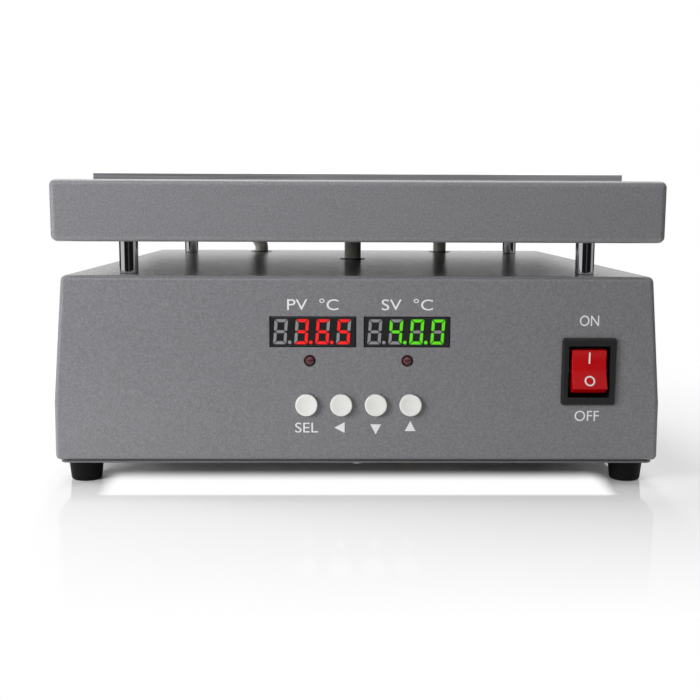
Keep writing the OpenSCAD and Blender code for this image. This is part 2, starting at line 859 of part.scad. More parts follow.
// Bars across the heater's legs, screwed up into the plate between the legs
module heater_clamps() {
    bar_w = 3 * heater_pitch + 2 * heater_d;
    color(steel)
        for (y = clamp_rows)
            difference() {
                translate([-bar_w / 2, y - clamp_w / 2, clamp_under]) cube([bar_w, clamp_w, clamp_t]);
                at_each(clamp_screw_places) rod(screw_d + panel_gap, clamp_under - 1, plate_under);
                translate([0, probe_y, 0]) rod(sensor_lead_d + 4, clamp_under - 1, plate_under);
            }
}

module clamp_screws() {
    color(steel) at_each(clamp_screw_places) screw_up(screw_d, clamp_under, plate_under + screw_bite);
}

// Sensor screwed into the plate, with a hexagon that the sleeve is crimped to
module thermocouple_probe() {
    color(steel)
        translate([0, probe_y, 0]) {
            rod(probe_d, plate_under - 0.5, plate_under + probe_depth);
            hex(probe_flats, plate_under - probe_hex_h, plate_under);
        }
}

// Leads between tray and base, and what they pass through

// Route of a heater lead from its lug, down through tray and base, to its ceramic block.
// It runs straight where it passes a grommet and where it meets the block.
function heater_route(side, top_x, base_x) =
    let (start = side * (1.5 * heater_pitch - lug_d / 2 - 2), turn_cut = 1 - cos(45),
         through_tray = passage(tray_z, tray_floor), through_base = passage(inside_top, base_top),
         turn = plate_under - through_tray[0])
    concat([[start, lead_y, plate_under],
            [top_x + side * turn, lead_y, plate_under],
            [top_x + side * turn_cut * turn, lead_y, plate_under - turn_cut * turn]],
           [for (z = through_tray) [top_x, lead_y, z]],
           [for (z = through_base) [base_x, lead_base_y, z]],
           [[base_x, (lead_base_y + block_y) / 2, (inside_top + block_top) / 2]],
           [for (up = [20, 8, 4, 0]) [base_x, block_y, block_top + up]]);
// Heights just above, at both lips of, and just below a grommet
function passage(from, to) =
    [to + grommet_lip_t + lead_straight, to + grommet_lip_t,
     from - grommet_lip_t, from - grommet_lip_t - lead_straight];

module heater_lead(side, top_x, base_x) {
    color([0.55, 0.54, 0.52]) {
        flexible(heater_route(side, top_x, base_x), lead_d, [0, 1, 0], lead_pitch, 12);
        translate([side * 1.5 * heater_pitch, lead_y, plate_under]) rotate([0, 90, 0])
            rod(lug_d, -lug_d / 2 - 2, lug_d / 2 + 2);
    }
}

// The sleeve ends inside the base, and the wire runs on to the control board.
module lead_sensor() {
    color([0.25, 0.25, 0.26]) {
        translate([0, probe_y, 0])
            rod(sensor_lead_d, sensor_sleeve_end, plate_under - probe_hex_h);
        wire([0, probe_y, sensor_sleeve_end], down,
             [[0, (probe_y + sensor_plug_y) / 2, sensor_plug_z + 2]],
             [0, sensor_plug_y, sensor_plug_z], backwards, [1, 0, 0]);
    }
}

// Sleeve of heat proof rubber round each lead, with a lip on both sides of the sheet
module grommet(d, from, to, upper_t) {
    hole = d + 2 * grommet_wall;
    rotate_extrude()
        polygon([[d / 2 + fit_gap, from - grommet_lip_t], [hole / 2 + grommet_lip, from - grommet_lip_t],
                 [hole / 2 + grommet_lip, from], [hole / 2 - fit_gap, from], [hole / 2 - fit_gap, to],
                 [hole / 2 + grommet_lip, to], [hole / 2 + grommet_lip, to + upper_t],
                 [d / 2 + fit_gap, to + upper_t]]);
}

module base_grommets() {
    color(black) for (p = lead_holes) translate([p[0], p[1], 0]) grommet(p[2], inside_top, base_top, grommet_flat_t);
}

module tray_grommets() {
    color([0.92, 0.90, 0.84])
        for (p = tray_holes) translate([p[0], p[1], 0]) grommet(p[2], tray_z, tray_floor, grommet_lip_t);
}

// Ceramic blocks in which the heater leads end
module lead_blocks() {
    color([0.93, 0.91, 0.86])
        for (p = block_places)
            translate([p[0], p[1], base_z])
                difference() {
                    translate([-block_w / 2, -block_d / 2, 0]) cube([block_w, block_d, block_h]);
                    rod(screw_d + 2 * fit_gap, -1, block_h - block_screw_roof + 1);
                    for (s = [-1, 1]) translate([s * block_bore_x, 0, block_bore_z]) rotate([90, 0, 0])
                        cylinder(h = block_d + 2, d = block_bore, center = true);
                }
}

// Control board behind the panel, with its displays, lamps and key switches

module control_board() {
    color(board_green)
        difference() {
            on_front(display_x, 0)
                translate([-board_w / 2, board_bottom, -board_back]) cube([board_w, board_h, board_t]);
            for (p = board_screws)
                on_front(p[0], p[1]) rod(screw_d + 2 * fit_gap, -board_back - 1, -board_front + 1);
        }
}

module board_spacers() {
    color(steel)
        for (p = board_screws)
            on_front(p[0], p[1]) pipe(2 * screw_d, screw_d + 2 * fit_gap, -board_front, -base_wall);
}

module board_nuts() {
    color(steel)
        for (p = board_screws) on_front(p[0], p[1]) translate([0, 0, -board_back - nut_h]) pipe_nut();
}

// Parts on the back of the control board: controller, sounder and the plugs of the wires
module control_parts() {
    color(black)
        on_front(0, 0)
            translate([0, 0, -board_back]) {
                on_board_back(chip_x, lamp_z, chip_w, chip_w, chip_t);
                on_board_back(0, sensor_plug_z, sensor_header_w, header_h, header_depth);
                on_board_back(supply_plug_x, lamp_z, supply_header_w, header_h, header_depth);
                translate([sounder_x, lamp_z, -sounder_h]) cylinder(h = sounder_h, d = sounder_d);
            }
}

module on_board_back(x, z, w, h, deep) {
    translate([x - w / 2, z - h / 2, -deep]) cube([w, h, deep]);
}

module display(x) {
    color(black)
        on_front(x, display_z)
            translate([0, 0, -board_front])
                chamfered_slab(display_w, display_h, board_front - display_recess, display_chamfer);
}

module indicator_lamps() {
    collar = 0.8;
    color([0.25, 0.10, 0.10])
        for (x = lamp_places)
            on_front(x, lamp_z) {
                rod(lamp_d + 1, -board_front, -board_front + collar);
                rod(lamp_d, -board_front, lamp_proud - lamp_d / 2);
                translate([0, 0, lamp_proud - lamp_d / 2]) sphere(d = lamp_d);
            }
}

module key_switches() {
    color([0.15, 0.15, 0.16])
        for (x = keys)
            on_front(x, key_z)
                difference() {
                    translate([-key_switch_w / 2, -key_switch_w / 2, -board_front])
                        cube([key_switch_w, key_switch_w, key_switch_h]);
                    rod(plunger_d + 4 * run_gap, -board_front + key_switch_h - plunger_bore, 0);
                }
}

// Key with a round flange that keeps it behind the panel
module key(x) {
    crown = 0.6;
    back = -base_wall - key_flange_gap;
    color([0.90, 0.90, 0.88])
        on_front(x, key_z)
            rotate_extrude()
                polygon([[0, key_proud], [key_d / 2 - crown, key_proud], [key_d / 2, key_proud - crown],
                         [key_d / 2, back], [key_d / 2 + key_flange, back],
                         [key_d / 2 + key_flange, back - key_flange_t],
                         [plunger_d / 2 + fit_gap, back - key_flange_t],
                         [plunger_d / 2 + fit_gap, back - key_flange_t + key_socket],
                         [0, back - key_flange_t + key_socket]]);
}

module plunger(x) {
    seat = -base_wall - key_flange_gap - key_flange_t + key_socket;
    inner = -board_front + key_switch_h - plunger_bore + key_travel + plunger_gap;
    color([0.20, 0.20, 0.21]) on_front(x, key_z) rod(plunger_d, inner, seat);
}

// Power switch: a snap-in body with a rocker on two stub pins

module switch_body() {
    color(black)
        on_front(switch_x, switch_z)
            difference() {
                union() {
                    intersection() {
                        chamfered_slab(bezel_w, bezel_h, bezel_t, bezel_chamfer);
                        linear_extrude(bezel_t) rounded_rect(bezel_w, bezel_h, 1.5);
                    }
                    translate([-switch_core_w / 2, -switch_core_h / 2, -switch_depth])
                        cube([switch_core_w, switch_core_h, switch_depth]);
                    for (side = [-1, 1])
                        translate([0, side * switch_core_h / 2, -base_wall]) rotate([0, side * 90, 0])
                            linear_extrude(snap_w, center = true)
                                polygon([[0, -side * snap_root], [0, side * snap_h],
                                         [side * snap_len, -side * snap_root]]);
                }
                translate([-rocker_room_w / 2, -rocker_room_h / 2, -rocker_room_depth])
                    cube([rocker_room_w, rocker_room_h, rocker_room_depth + bezel_t + 1]);
                translate([0, 0, -pivot_depth]) rotate([0, 90, 0])
                    cylinder(h = switch_core_w + 2, d = rocker_pin_d + 2 * run_gap, center = true);
            }
}

// Seen from the side; the face is a shallow V, and the rocker stands tipped to "on".
module switch_rocker() {
    half = rocker_h / 2;
    skirt_half = 0.7 * half;
    color([0.75, 0.10, 0.08])
        on_front(switch_x, switch_z)
            translate([0, 0, -pivot_depth]) rotate([-rocker_throw / 2, 0, 0]) rotate([0, -90, 0]) {
                linear_extrude(rocker_w, center = true)
                    polygon([[rocker_end, -half], [rocker_valley, 0], [rocker_end, half], [1, half + rocker_nose],
                             [-rocker_skirt, skirt_half], [-rocker_skirt, -skirt_half], [1, -half - rocker_nose]]);
                cylinder(h = switch_core_w - panel_gap, d = rocker_pin_d, center = true);
            }
}

module switch_terminals() {
    color([0.80, 0.70, 0.45])
        on_front(switch_x, switch_z)
            for (sx = [-1, 1], sy = [-1, 1])
                translate([sx * blade_x - blade_t / 2, sy * blade_z - blade_w / 2, -switch_depth - blade_len])
                    cube([blade_t, blade_w, blade_len]);
}

// Mains inlet with a fuse drawer below its socket

module inlet_body() {
    color(black)
        on_back(inlet_x, inlet_z)
            difference() {
                union() {
                    intersection() {
                        chamfered_slab(inlet_flange_w, inlet_flange_h, inlet_flange_t, inlet_chamfer);
                        linear_extrude(inlet_flange_t) rounded_rect(inlet_flange_w, inlet_flange_h, 4);
                    }
                    translate([-inlet_core_w / 2, -inlet_core_h / 2, -inlet_depth])
                        cube([inlet_core_w, inlet_core_h, inlet_depth + 0.5]);
                }
                translate([0, socket_z, inlet_flange_t - socket_depth])
                    linear_extrude(socket_depth + 1) socket_outline();
                translate([-drawer_w / 2 - panel_gap, drawer_z - drawer_h / 2 - panel_gap / 2,
                           inlet_flange_t - drawer_len - panel_gap])
                    cube([drawer_w + 2 * panel_gap, drawer_h + panel_gap, drawer_len + panel_gap + 1]);
                for (s = [-1, 1])
                    translate([s * inlet_screw_span / 2, 0, inlet_flange_t]) {
                        rod(screw_d + 2 * fit_gap, -inlet_flange_t - 1, 1);
                        sunk_head(2 * fit_gap);
                    }
            }
}

// Head of a countersunk screw below Z = 0, or its seat when it is given a clearance
module sunk_head(clearance = 0) {
    translate([0, 0, -head_sink])
        cylinder(h = head_sink, d1 = head_d - 2 * head_sink + clearance, d2 = head_d + clearance);
}

// Socket with its two upper corners cut off
module socket_outline() {
    cut = 4.5;
    w = socket_w / 2;
    h = socket_h / 2;
    polygon([[-w, -h], [w, -h], [w, h - cut], [w - cut, h], [-w + cut, h], [-w, h - cut]]);
}

// Three flat pins, which end in blades behind the inlet
module inlet_pins() {
    floor_z = inlet_flange_t - socket_depth;
    color([0.80, 0.78, 0.70])
        on_back(inlet_x, inlet_z)
            for (p = [[-pin_step, -pin_rise], [0, pin_rise], [pin_step, -pin_rise]])
                translate([p[0] - pin_w / 2, socket_z + p[1] - pin_h / 2, floor_z])
                    cube([pin_w, pin_h, socket_depth - pin_recess]);
}

// Tray-shaped drawer that carries the fuse across its inner end
module fuse_drawer() {
    w = drawer_w;
    h = drawer_body_h;
    floor_y = -h / 2 + drawer_wall;
    inner_end = drawer_lug + drawer_wall;
    spare_start = inner_end + fuse_bay + drawer_wall;
    notch_w = 6;
    color([0.12, 0.12, 0.13])
        on_back(inlet_x, inlet_z)
            translate([0, drawer_z, inlet_flange_t - drawer_len])
                difference() {
                    translate([-w / 2, -h / 2, drawer_lug]) cube([w, h, drawer_len - drawer_lug]);
                    translate([-fuse_len / 2 - 0.2, floor_y, inner_end]) cube([fuse_len + 0.4, h, fuse_bay]);
                    translate([-w / 2 + drawer_wall, floor_y, spare_start])
                        cube([w - 2 * drawer_wall, h, drawer_len - drawer_face_t - spare_start]);
                    translate([-notch_w / 2, h / 2 - 1, drawer_len - 1]) cube([notch_w, 2, 2]);
                }
}

module fuse() {
    cap = 5;
    color([0.80, 0.82, 0.84])
        on_back(inlet_x, inlet_z)
            translate([0, drawer_z - drawer_body_h / 2 + drawer_wall + fuse_d / 2 + fit_gap,
                       inlet_flange_t - drawer_len + drawer_lug + drawer_wall + fuse_bay / 2])
                rotate([0, 90, 0]) {
                    rod(fuse_d - 0.4, -fuse_len / 2 + cap / 2, fuse_len / 2 - cap / 2);
                    for (s = [-1, 1]) translate([0, 0, s * (fuse_len - cap) / 2])
                        cylinder(h = cap, d = fuse_d, center = true);
                }
}

module inlet_screws() {
    color(steel)
        on_back(inlet_x, inlet_z)
            for (s = [-1, 1])
                translate([s * inlet_screw_span / 2, 0, 0]) {
                    rod(screw_d, -base_wall - nut_h - 2, inlet_flange_t - head_sink + 0.1);
                    translate([0, 0, inlet_flange_t]) sunk_head();
                    translate([0, 0, -base_wall - nut_h]) pipe_nut();
                }
}

// Power supply on the bottom plate

module power_board() {
    color(board_green)
        difference() {
            translate([power_x - power_w / 2, power_y - power_d / 2, power_z])
                cube([power_w, power_d, board_t]);
            at_each(power_screws) rod(screw_d + 2 * fit_gap, power_z - 1, power_top + 1);
        }
}

module power_spacers() {
    color(steel) at_each(power_screws) pipe(2 * screw_d, screw_d + 2 * fit_gap, base_z, power_z);
}

module transformer() {
    color([0.30, 0.25, 0.20])
        translate([transformer_place[0], transformer_place[1], power_top]) {
            translate([0, 0, core_h / 2]) cube([core_w, core_t, core_h], center = true);
            translate([0, 0, core_h / 2]) cube([coil_w, coil_d, coil_h], center = true);
            for (s = [-1, 1])
                translate([0, s * (coil_d / 2 - core_foot_t + 1), core_foot_h / 2])
                    cube([core_foot_w, core_foot_t, core_foot_h], center = true);
        }
}

// Heat sink of the heater's switch: a finned extrusion that stands on the board
module triac_heatsink() {
    color([0.70, 0.71, 0.73])
        translate([sink_place[0], sink_place[1], power_top])
            linear_extrude(sink_h) {
                translate([-sink_w / 2, -sink_base_t / 2]) square([sink_w, sink_base_t]);
                for (i = [0:sink_fins - 1])
                    translate([-sink_w / 2 + i * sink_fin_step, sink_base_t / 2 - 1])
                        square([sink_fin_t, sink_fin_h]);
            }
}

// Relay, filter capacitor, smoothing capacitor, the heater's switch and the terminal strip
module power_parts() {
    color([0.16, 0.25, 0.45])
        translate([0, 0, power_top]) {
            translate([power_x - 4, power_y - 2 * relay_d, 0]) cube([relay_w, relay_d, relay_h]);
            translate([power_x - 6, power_y + 2, 0]) cube([filter_w, filter_d, filter_h]);
            translate([power_x - 40, power_y + 22, 0]) rod(can_d, 0, can_h);
            translate([sink_place[0] - triac_w / 2, sink_place[1] - sink_base_t / 2 - triac_t, triac_z])
                cube([triac_w, triac_t, triac_h]);
            terminal_strip();
        }
}

module terminal_strip() {
    w = strip_pitch * strip_ways;
    translate([strip_place[0] - w / 2, strip_place[1] - strip_d / 2, 0])
        difference() {
            cube([w, strip_d, strip_h]);
            for (i = [0:strip_ways - 1])
                translate([strip_pitch * (i + 0.5), strip_d / 2 + 1, strip_h - strip_screw_depth])
                    cylinder(h = strip_screw_depth + 1, d = strip_screw_d);
        }
}

module earth_stud() {
    color([0.80, 0.70, 0.45])
        at_each([earth_place]) {
            screw_up(earth_d, bottom_z, base_z + earth_stud_h);
            hex(earth_nut_flats, base_z, base_z + earth_nut_h);
            hex(earth_nut_flats, base_z + earth_nut_h + wire_d, base_z + 2 * earth_nut_h + wire_d);
        }
}

// Wire that leaves both its ends straight, in the given directions
module wire(from, from_dir, middle, to, to_dir, across) {
    ends = [for (run = [0, 1, 2]) [from + run * wire_d * from_dir, to + (2 - run) * wire_d * to_dir]];
    flexible(concat([for (e = ends) e[0]], middle, [for (e = ends) e[1]]), wire_d, across, wire_pitch, 8);
}

// Wires inside the base, from the inlet to the switch, on to the strip, and to what the board feeds
module mains_wires() {
    inlet_y = back_y - inlet_depth;
    blade_y = front_y + switch_depth + blade_len;
    color([0.30, 0.20, 0.15]) {
        for (s = [-1, 1]) {
            inlet_to_switch(s, inlet_y, blade_y);
            switch_to_strip(s, blade_y);
            strip_to_block(s, s < 0 ? block_places[0] : block_places[1]);
        }
        supply_wire();
        earth_wire(inlet_y);
    }
}

module inlet_to_switch(s, inlet_y, blade_y) {
    wire([inlet_x + s * pin_step, inlet_y, inlet_z], forwards,
         [[inlet_x + 16 + s * 5, base_y + 40, inlet_z - 6],
          [switch_x + 3 + s * 5, base_y - 60, switch_z - 4]],
         [switch_x + s * blade_x, blade_y, switch_z + blade_z], backwards, up);
}

module switch_to_strip(s, blade_y) {
    end_x = strip_place[0] + s * strip_pitch / 2;
    wire([switch_x + s * blade_x, blade_y, switch_z - blade_z], backwards,
         [[switch_x - 40 + s * 2, base_y - 40, strip_top + 10 - s * 4],
          [strip_place[0] + 45 + s * 3, strip_screw_y - 18 + s * 2, strip_top + 14 - s * 4],
          [strip_place[0] + 14 + s * 3, strip_screw_y - 4 + s * 2, strip_top + 15 - s * 2]],
         [end_x, strip_screw_y, strip_wire_z], up, [1, 1, 0]);
}

module strip_to_block(s, place) {
    x = strip_place[0] + s * 2.5 * strip_pitch;
    wire([x, strip_screw_y, strip_wire_z], up,
         [[x - s * 2, strip_screw_y + 10, strip_top + 10],
          [(x + place[0]) / 2, strip_screw_y + 26, strip_top + 2]],
         [place[0] - s * block_bore_x, place[1] - block_d / 2, base_z + block_bore_z], forwards,
         [0.3, 1, 0.5]);
}

module supply_wire() {
    wire([supply_plug_x, sensor_plug_y, lamp_z], backwards,
         [[supply_plug_x, power_y - power_d / 2 - 6, power_top + 16]],
         [supply_plug_x, power_y - power_d / 2 + 9, power_top], up, [1, 0, 0]);
}

module earth_wire(inlet_y) {
    stud_side = earth_place[0] + earth_d / 2 + wire_d / 2;
    wire([inlet_x, inlet_y, inlet_z + 6], forwards,
         [[inlet_x - 12, base_y + 70, inlet_z + 6], [inlet_x - 28, base_y, base_z + 16]],
         [stud_side, earth_place[1], base_z + earth_nut_h + wire_d / 2], backwards, up);
}

base_housing();
bottom_plate();
bottom_screws();
foot(foot_places[0]);  // foot_front_left
foot(foot_places[2]);  // foot_front_right
foot(foot_places[1]);  // foot_rear_left
foot(foot_places[3]);  // foot_rear_right
foot_screws();
post(post_places[0]);  // post_front_left
post(post_places[2]);  // post_front_right
post(post_places[1]);  // post_rear_left
post(post_places[3]);  // post_rear_right
post_studs();
post_nuts();
plate_spacers();
tray();
insulation_board();
heating_plate();
heater_element();
heater_clamps();
clamp_screws();
thermocouple_probe();
heater_lead(-1, left_lead_top_x, left_lead_base_x);  // lead_left
heater_lead(1, right_lead_x, right_lead_x);  // lead_right
lead_sensor();
base_grommets();
tray_grommets();
lead_blocks();
control_board();
control_parts();
board_spacers();
board_nuts();
display(display_places[0]);  // display_actual
display(display_places[1]);  // display_set
indicator_lamps();
key_switches();
key(keys[0]);  // key_select
key(keys[1]);  // key_shift
key(keys[2]);  // key_down
key(keys[3]);  // key_up
plunger(keys[0]);  // plunger_select
plunger(keys[1]);  // plunger_shift
plunger(keys[2]);  // plunger_down
plunger(keys[3]);  // plunger_up
switch_body();
switch_rocker();
switch_terminals();
inlet_body();
inlet_pins();
fuse_drawer();
fuse();
inlet_screws();
power_board();
power_spacers();
transformer();
triac_heatsink();
power_parts();
earth_stud();
mains_wires();
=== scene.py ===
"""Looks of the heating platform, laid out as an add-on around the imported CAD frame."""
import json
import math
from contextlib import contextmanager

import bmesh
import bpy
from bpy.props import FloatProperty, FloatVectorProperty, PointerProperty
from mathutils import Matrix, Vector


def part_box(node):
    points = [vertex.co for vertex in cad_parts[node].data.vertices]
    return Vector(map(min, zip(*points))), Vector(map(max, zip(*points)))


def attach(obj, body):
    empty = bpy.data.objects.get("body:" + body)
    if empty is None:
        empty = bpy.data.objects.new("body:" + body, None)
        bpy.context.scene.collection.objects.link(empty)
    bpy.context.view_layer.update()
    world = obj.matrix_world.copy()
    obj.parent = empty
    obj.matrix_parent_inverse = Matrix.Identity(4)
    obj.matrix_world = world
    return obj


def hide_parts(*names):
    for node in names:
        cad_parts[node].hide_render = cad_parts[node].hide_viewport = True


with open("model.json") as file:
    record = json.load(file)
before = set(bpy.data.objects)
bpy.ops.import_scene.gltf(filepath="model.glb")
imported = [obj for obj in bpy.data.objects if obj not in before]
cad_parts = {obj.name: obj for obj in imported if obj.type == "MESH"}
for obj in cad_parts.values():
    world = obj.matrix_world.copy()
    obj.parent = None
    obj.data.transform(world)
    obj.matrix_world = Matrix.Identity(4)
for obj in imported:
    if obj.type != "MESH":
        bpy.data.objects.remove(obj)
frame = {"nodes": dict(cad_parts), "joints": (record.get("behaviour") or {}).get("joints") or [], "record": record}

bl_info = {
    "name": "Heating platform",
    "version": (1, 0, 0),
    "blender": (4, 5, 0),
    "location": "3D View > Sidebar > Platform",
    "description": "Models the visible pieces of a bench heating platform on its CAD frame",
    "category": "Object",
}

MM = 0.001
RIGHT, BACK, UP = Vector((1, 0, 0)), Vector((0, 1, 0)), Vector((0, 0, 1))
FRONT, DOWN = -BACK, -UP
BOX = {name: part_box(name) for name in frame["nodes"]}
POSTS = ("post_front_left", "post_front_right", "post_rear_left", "post_rear_right")
FEET = ("foot_front_left", "foot_front_right", "foot_rear_left", "foot_rear_right")
KEYS = {"key_select": "select_key", "key_shift": "shift_key",
        "key_down": "down_key", "key_up": "up_key"}      # each key's node, and the body it moves with
DISPLAYS = ("display_actual", "display_set")

# Sizes in millimetres that several pieces share
SHEET = 1.5          # thickness of the sheet steel
FIT = 0.05           # clearance of a piece in its hole
OPENING = 10         # how deep the cutter of an opening reaches
BUSH = 1.5           # how much wider a hole is than the radius of the lead in its bush
STUD_HOLE = 2.65     # radius of the hole for a post's stud
HEATER_LEAD, SENSOR_LEAD = 4.5, 5     # radii of the sleeved leads
LAMP_FLANGE = 3      # radius of a lamp's flange
SCREW_SPAN = 20      # from the middle of the mains inlet to each of its screws

MERGE = 1e-6         # metres under which two vertices are one


def centre(node):
    return (BOX[node][0] + BOX[node][1]) / 2


def size(node):
    return BOX[node][1] - BOX[node][0]


# Corners of the two sheet metal boxes, and the faces and heights that other pieces take from them
HOUSING_LOW, HOUSING_HIGH = BOX["base_housing"]
TRAY_LOW, TRAY_HIGH = BOX["tray"]
PANEL_Y, REAR_Y = HOUSING_LOW.y, HOUSING_HIGH.y
BASE_Z, BASE_TOP = HOUSING_LOW.z, HOUSING_HIGH.z
TRAY_Z = TRAY_LOW.z


def tone(red, green, blue):
    """A colour given as it looks on a screen, from 0 to 255, as the shader takes it."""
    def linear(value):
        share = value / 255
        return share / 12.92 if share <= 0.04045 else ((share + 0.055) / 1.055) ** 2.4
    return (linear(red), linear(green), linear(blue), 1.0)


# Settings that a user would change

class StageSettings(bpy.types.PropertyGroup):
    lens: FloatProperty(name="Lens", description="Focal length in millimetres on a 36 mm sensor",
                        default=53.304, min=20, max=200)
    camera_place: FloatVectorProperty(name="Camera", description="Place of the camera", size=3,
                                      default=(-0.01086, -0.61875, 0.13346), subtype="XYZ", unit="LENGTH")
    pitch: FloatProperty(name="Pitch", description="How far the camera looks down",
                         default=math.radians(7.9806), subtype="ANGLE")
    yaw: FloatProperty(name="Yaw", description="How far the camera looks to the right",
                       default=math.radians(0.8449), subtype="ANGLE")
    roll: FloatProperty(name="Roll", description="Turn of the camera round its line of sight",
                        default=math.radians(0.2341), subtype="ANGLE")
    floor_colour: FloatVectorProperty(name="Floor", description="Colour of the floor",
                                      default=(0.93, 0.93, 0.93), size=3, min=0, max=1, subtype="COLOR")
    mirror: FloatProperty(name="Mirror", default=0.38, min=0, max=1, subtype="FACTOR",
                          description="Share of the floor's light that is mirrored near the object")
    sky: FloatProperty(name="Sky", description="Strength of the even light from all round",
                       default=0.12, min=0)
    sun: FloatProperty(name="Front light", description="Strength of the soft light from above the front",
                       default=0.3, min=0)
    key: FloatProperty(name="Key light", description="Power of the soft light at the left",
                       default=8.0, min=0)
    top: FloatProperty(name="Top light", description="Strength of the soft light from above",
                       default=0.6, min=0)
    fill: FloatProperty(name="Fill light", description="Power of the level light at the front",
                        default=0.6, min=0)
    side: FloatProperty(name="Side light", description="Power of the low light at the left",
                        default=9.0, min=0)
    rim: FloatProperty(name="Rear light", description="Power of the light above the back",
                       default=12.0, min=0)


class SheetSettings(bpy.types.PropertyGroup):
    wall: FloatProperty(name="Sheet", description="Thickness of the sheet steel", default=SHEET * MM,
                        min=0.0005, unit="LENGTH")
    base_edge: FloatProperty(name="Base edges", description="Outer radius of the base's edges",
                             default=2.5 * MM, min=0.0005, unit="LENGTH")
    tray_edge: FloatProperty(name="Tray edges", description="Outer radius of the tray's edges",
                             default=3 * MM, min=0.0005, unit="LENGTH")
    knee_height: FloatProperty(name="Bend height", description="Height of the bend of the base's sides",
                               default=28 * MM, unit="LENGTH")
    knee_width: FloatProperty(name="Bend width", description="Width of the base at the bend of its sides",
                              default=287 * MM, unit="LENGTH")
    top_width: FloatProperty(name="Top width", description="Width of the base across its top",
                             default=277.4 * MM, unit="LENGTH")
    flange: FloatProperty(name="Flange", description="Width of the flange along the base's bottom edge",
                          default=22 * MM, unit="LENGTH")
    cut_edge: FloatProperty(name="Cut edges", description="Rounding of the edges round the openings",
                            default=0.15 * MM, unit="LENGTH")
    paint: FloatVectorProperty(name="Paint", description="Colour of the textured paint",
                               default=tone(109, 109, 112)[:3], size=3, min=0, max=1, subtype="COLOR")


class ControlSettings(bpy.types.PropertyGroup):
    digit_height: FloatProperty(name="Digit height", description="Height of the digits", default=11.8 * MM,
                                unit="LENGTH")
    digit_width: FloatProperty(name="Digit width", description="Width of the digits", default=6.2 * MM,
                               unit="LENGTH")
    digit_pitch: FloatProperty(name="Digit pitch", description="Distance from one digit to the next",
                               default=9.86 * MM, unit="LENGTH")
    segment: FloatProperty(name="Segment", description="Width of a segment of a digit", default=1.4 * MM,
                           unit="LENGTH")
    slant: FloatProperty(name="Slant", description="How far the digits lean", default=math.radians(4),
                         subtype="ANGLE")
    dish: FloatProperty(name="Key dish", description="Depth of the hollow in a key's face",
                        default=0.35 * MM, unit="LENGTH")
    actual_colour: FloatVectorProperty(name="Measured", description="Colour of the lit measured value",
                                       default=tone(255, 22, 22)[:3], size=3, min=0, max=1, subtype="COLOR")
    set_colour: FloatVectorProperty(name="Set", description="Colour of the lit set value",
                                    default=tone(92, 222, 8)[:3], size=3, min=0, max=1, subtype="COLOR")
    glow: FloatProperty(name="Glow", description="Strength of the lit segments", default=0.6, min=0)
    marks: FloatVectorProperty(name="Marks", description="Colour of the printed marks",
                               default=tone(212, 212, 214)[:3], size=3, min=0, max=1, subtype="COLOR")


class PlatformSettings(bpy.types.PropertyGroup):
    stage: PointerProperty(type=StageSettings, name="Stage", description="Camera, floor and lights")
    sheet: PointerProperty(type=SheetSettings, name="Sheet metal",
                           description="Sizes of the housing and the tray, and their paint")
    controls: PointerProperty(type=ControlSettings, name="Controls", description="Displays, keys and marks")


def settings():
    return bpy.context.scene.heating_platform


# Modelling steps that the operators share

def deselect():
    if bpy.context.mode != "OBJECT":
        bpy.ops.object.mode_set(mode="OBJECT")
    bpy.ops.object.select_all(action="DESELECT")


def activate(piece):
    deselect()
    piece.select_set(True)
    bpy.context.view_layer.objects.active = piece


def take(name):
    """Name the primitive just added, and put its place into its mesh."""
    piece = bpy.context.object
    bpy.ops.object.transform_apply(location=True, rotation=True, scale=True)
    piece.name = piece.data.name = name
    return piece


def block(name, low, high):
    """A box between two corners."""
    deselect()
    low, high = Vector(low), Vector(high)
    bpy.ops.mesh.primitive_cube_add(size=1, location=(low + high) / 2, scale=high - low)
    return take(name)


def rod(name, start, end, radius, sides=48):
    """A cylinder from one point to another."""
    deselect()
    start, end = Vector(start), Vector(end)
    turn = UP.rotation_difference(end - start).to_euler()
    bpy.ops.mesh.primitive_cylinder_add(vertices=sides, radius=radius, depth=(end - start).length,
                                        location=(start + end) / 2, rotation=turn)
    return take(name)


@contextmanager
def editing(piece):
    """Edit mode on one piece, for the steps in the block."""
    activate(piece)
    bpy.ops.object.mode_set(mode="EDIT")
    yield
    bpy.ops.object.mode_set(mode="OBJECT")


def pick(piece, kind, test):
    """Select the vertices, edges or faces that pass a test, in edit mode, and nothing else."""
    bpy.ops.mesh.select_all(action="DESELECT")
    bpy.ops.mesh.select_mode(type=kind)
    mesh = bmesh.from_edit_mesh(piece.data)
    found = [e for e in {"VERT": mesh.verts, "EDGE": mesh.edges, "FACE": mesh.faces}[kind] if test(e)]
    if not found:
        raise RuntimeError(f"{piece.name}: nothing to work on")
    for element in found:
        element.select_set(True)
    mesh.select_flush_mode()
    bmesh.update_edit_mesh(piece.data)


def sharp(degrees):
    """A test for edges whose faces meet at more than an angle."""
    limit = math.radians(degrees)
    return lambda edge: edge.is_manifold and edge.calc_face_angle(0) > limit


def runs(axis, length):
    """A test for edges that run further than a length along an axis."""
    return lambda edge: abs((edge.verts[0].co - edge.verts[1].co).dot(axis)) > length


def round_edges(piece, test, radius, segments=3):
    """Bevel the edges of a piece that pass a test."""
    with editing(piece):
        pick(piece, "EDGE", test)
        bpy.ops.mesh.bevel(offset=radius, segments=segments, affect="EDGES", clamp_overlap=True)


def modify(piece, kind, **values):
    """Give a piece a modifier, and apply it."""
    modifier = piece.modifiers.new(kind.title(), kind)
    for key, value in values.items():
        setattr(modifier, key, value)
    activate(piece)
    bpy.ops.object.modifier_apply(modifier=modifier.name)


def smooth(piece, degrees=35):
    """Smooth shading, except at edges sharper than an angle."""
    activate(piece)
    bpy.ops.object.shade_smooth_by_angle(angle=math.radians(degrees))
    modify(piece, "WEIGHTED_NORMAL", keep_sharp=True)


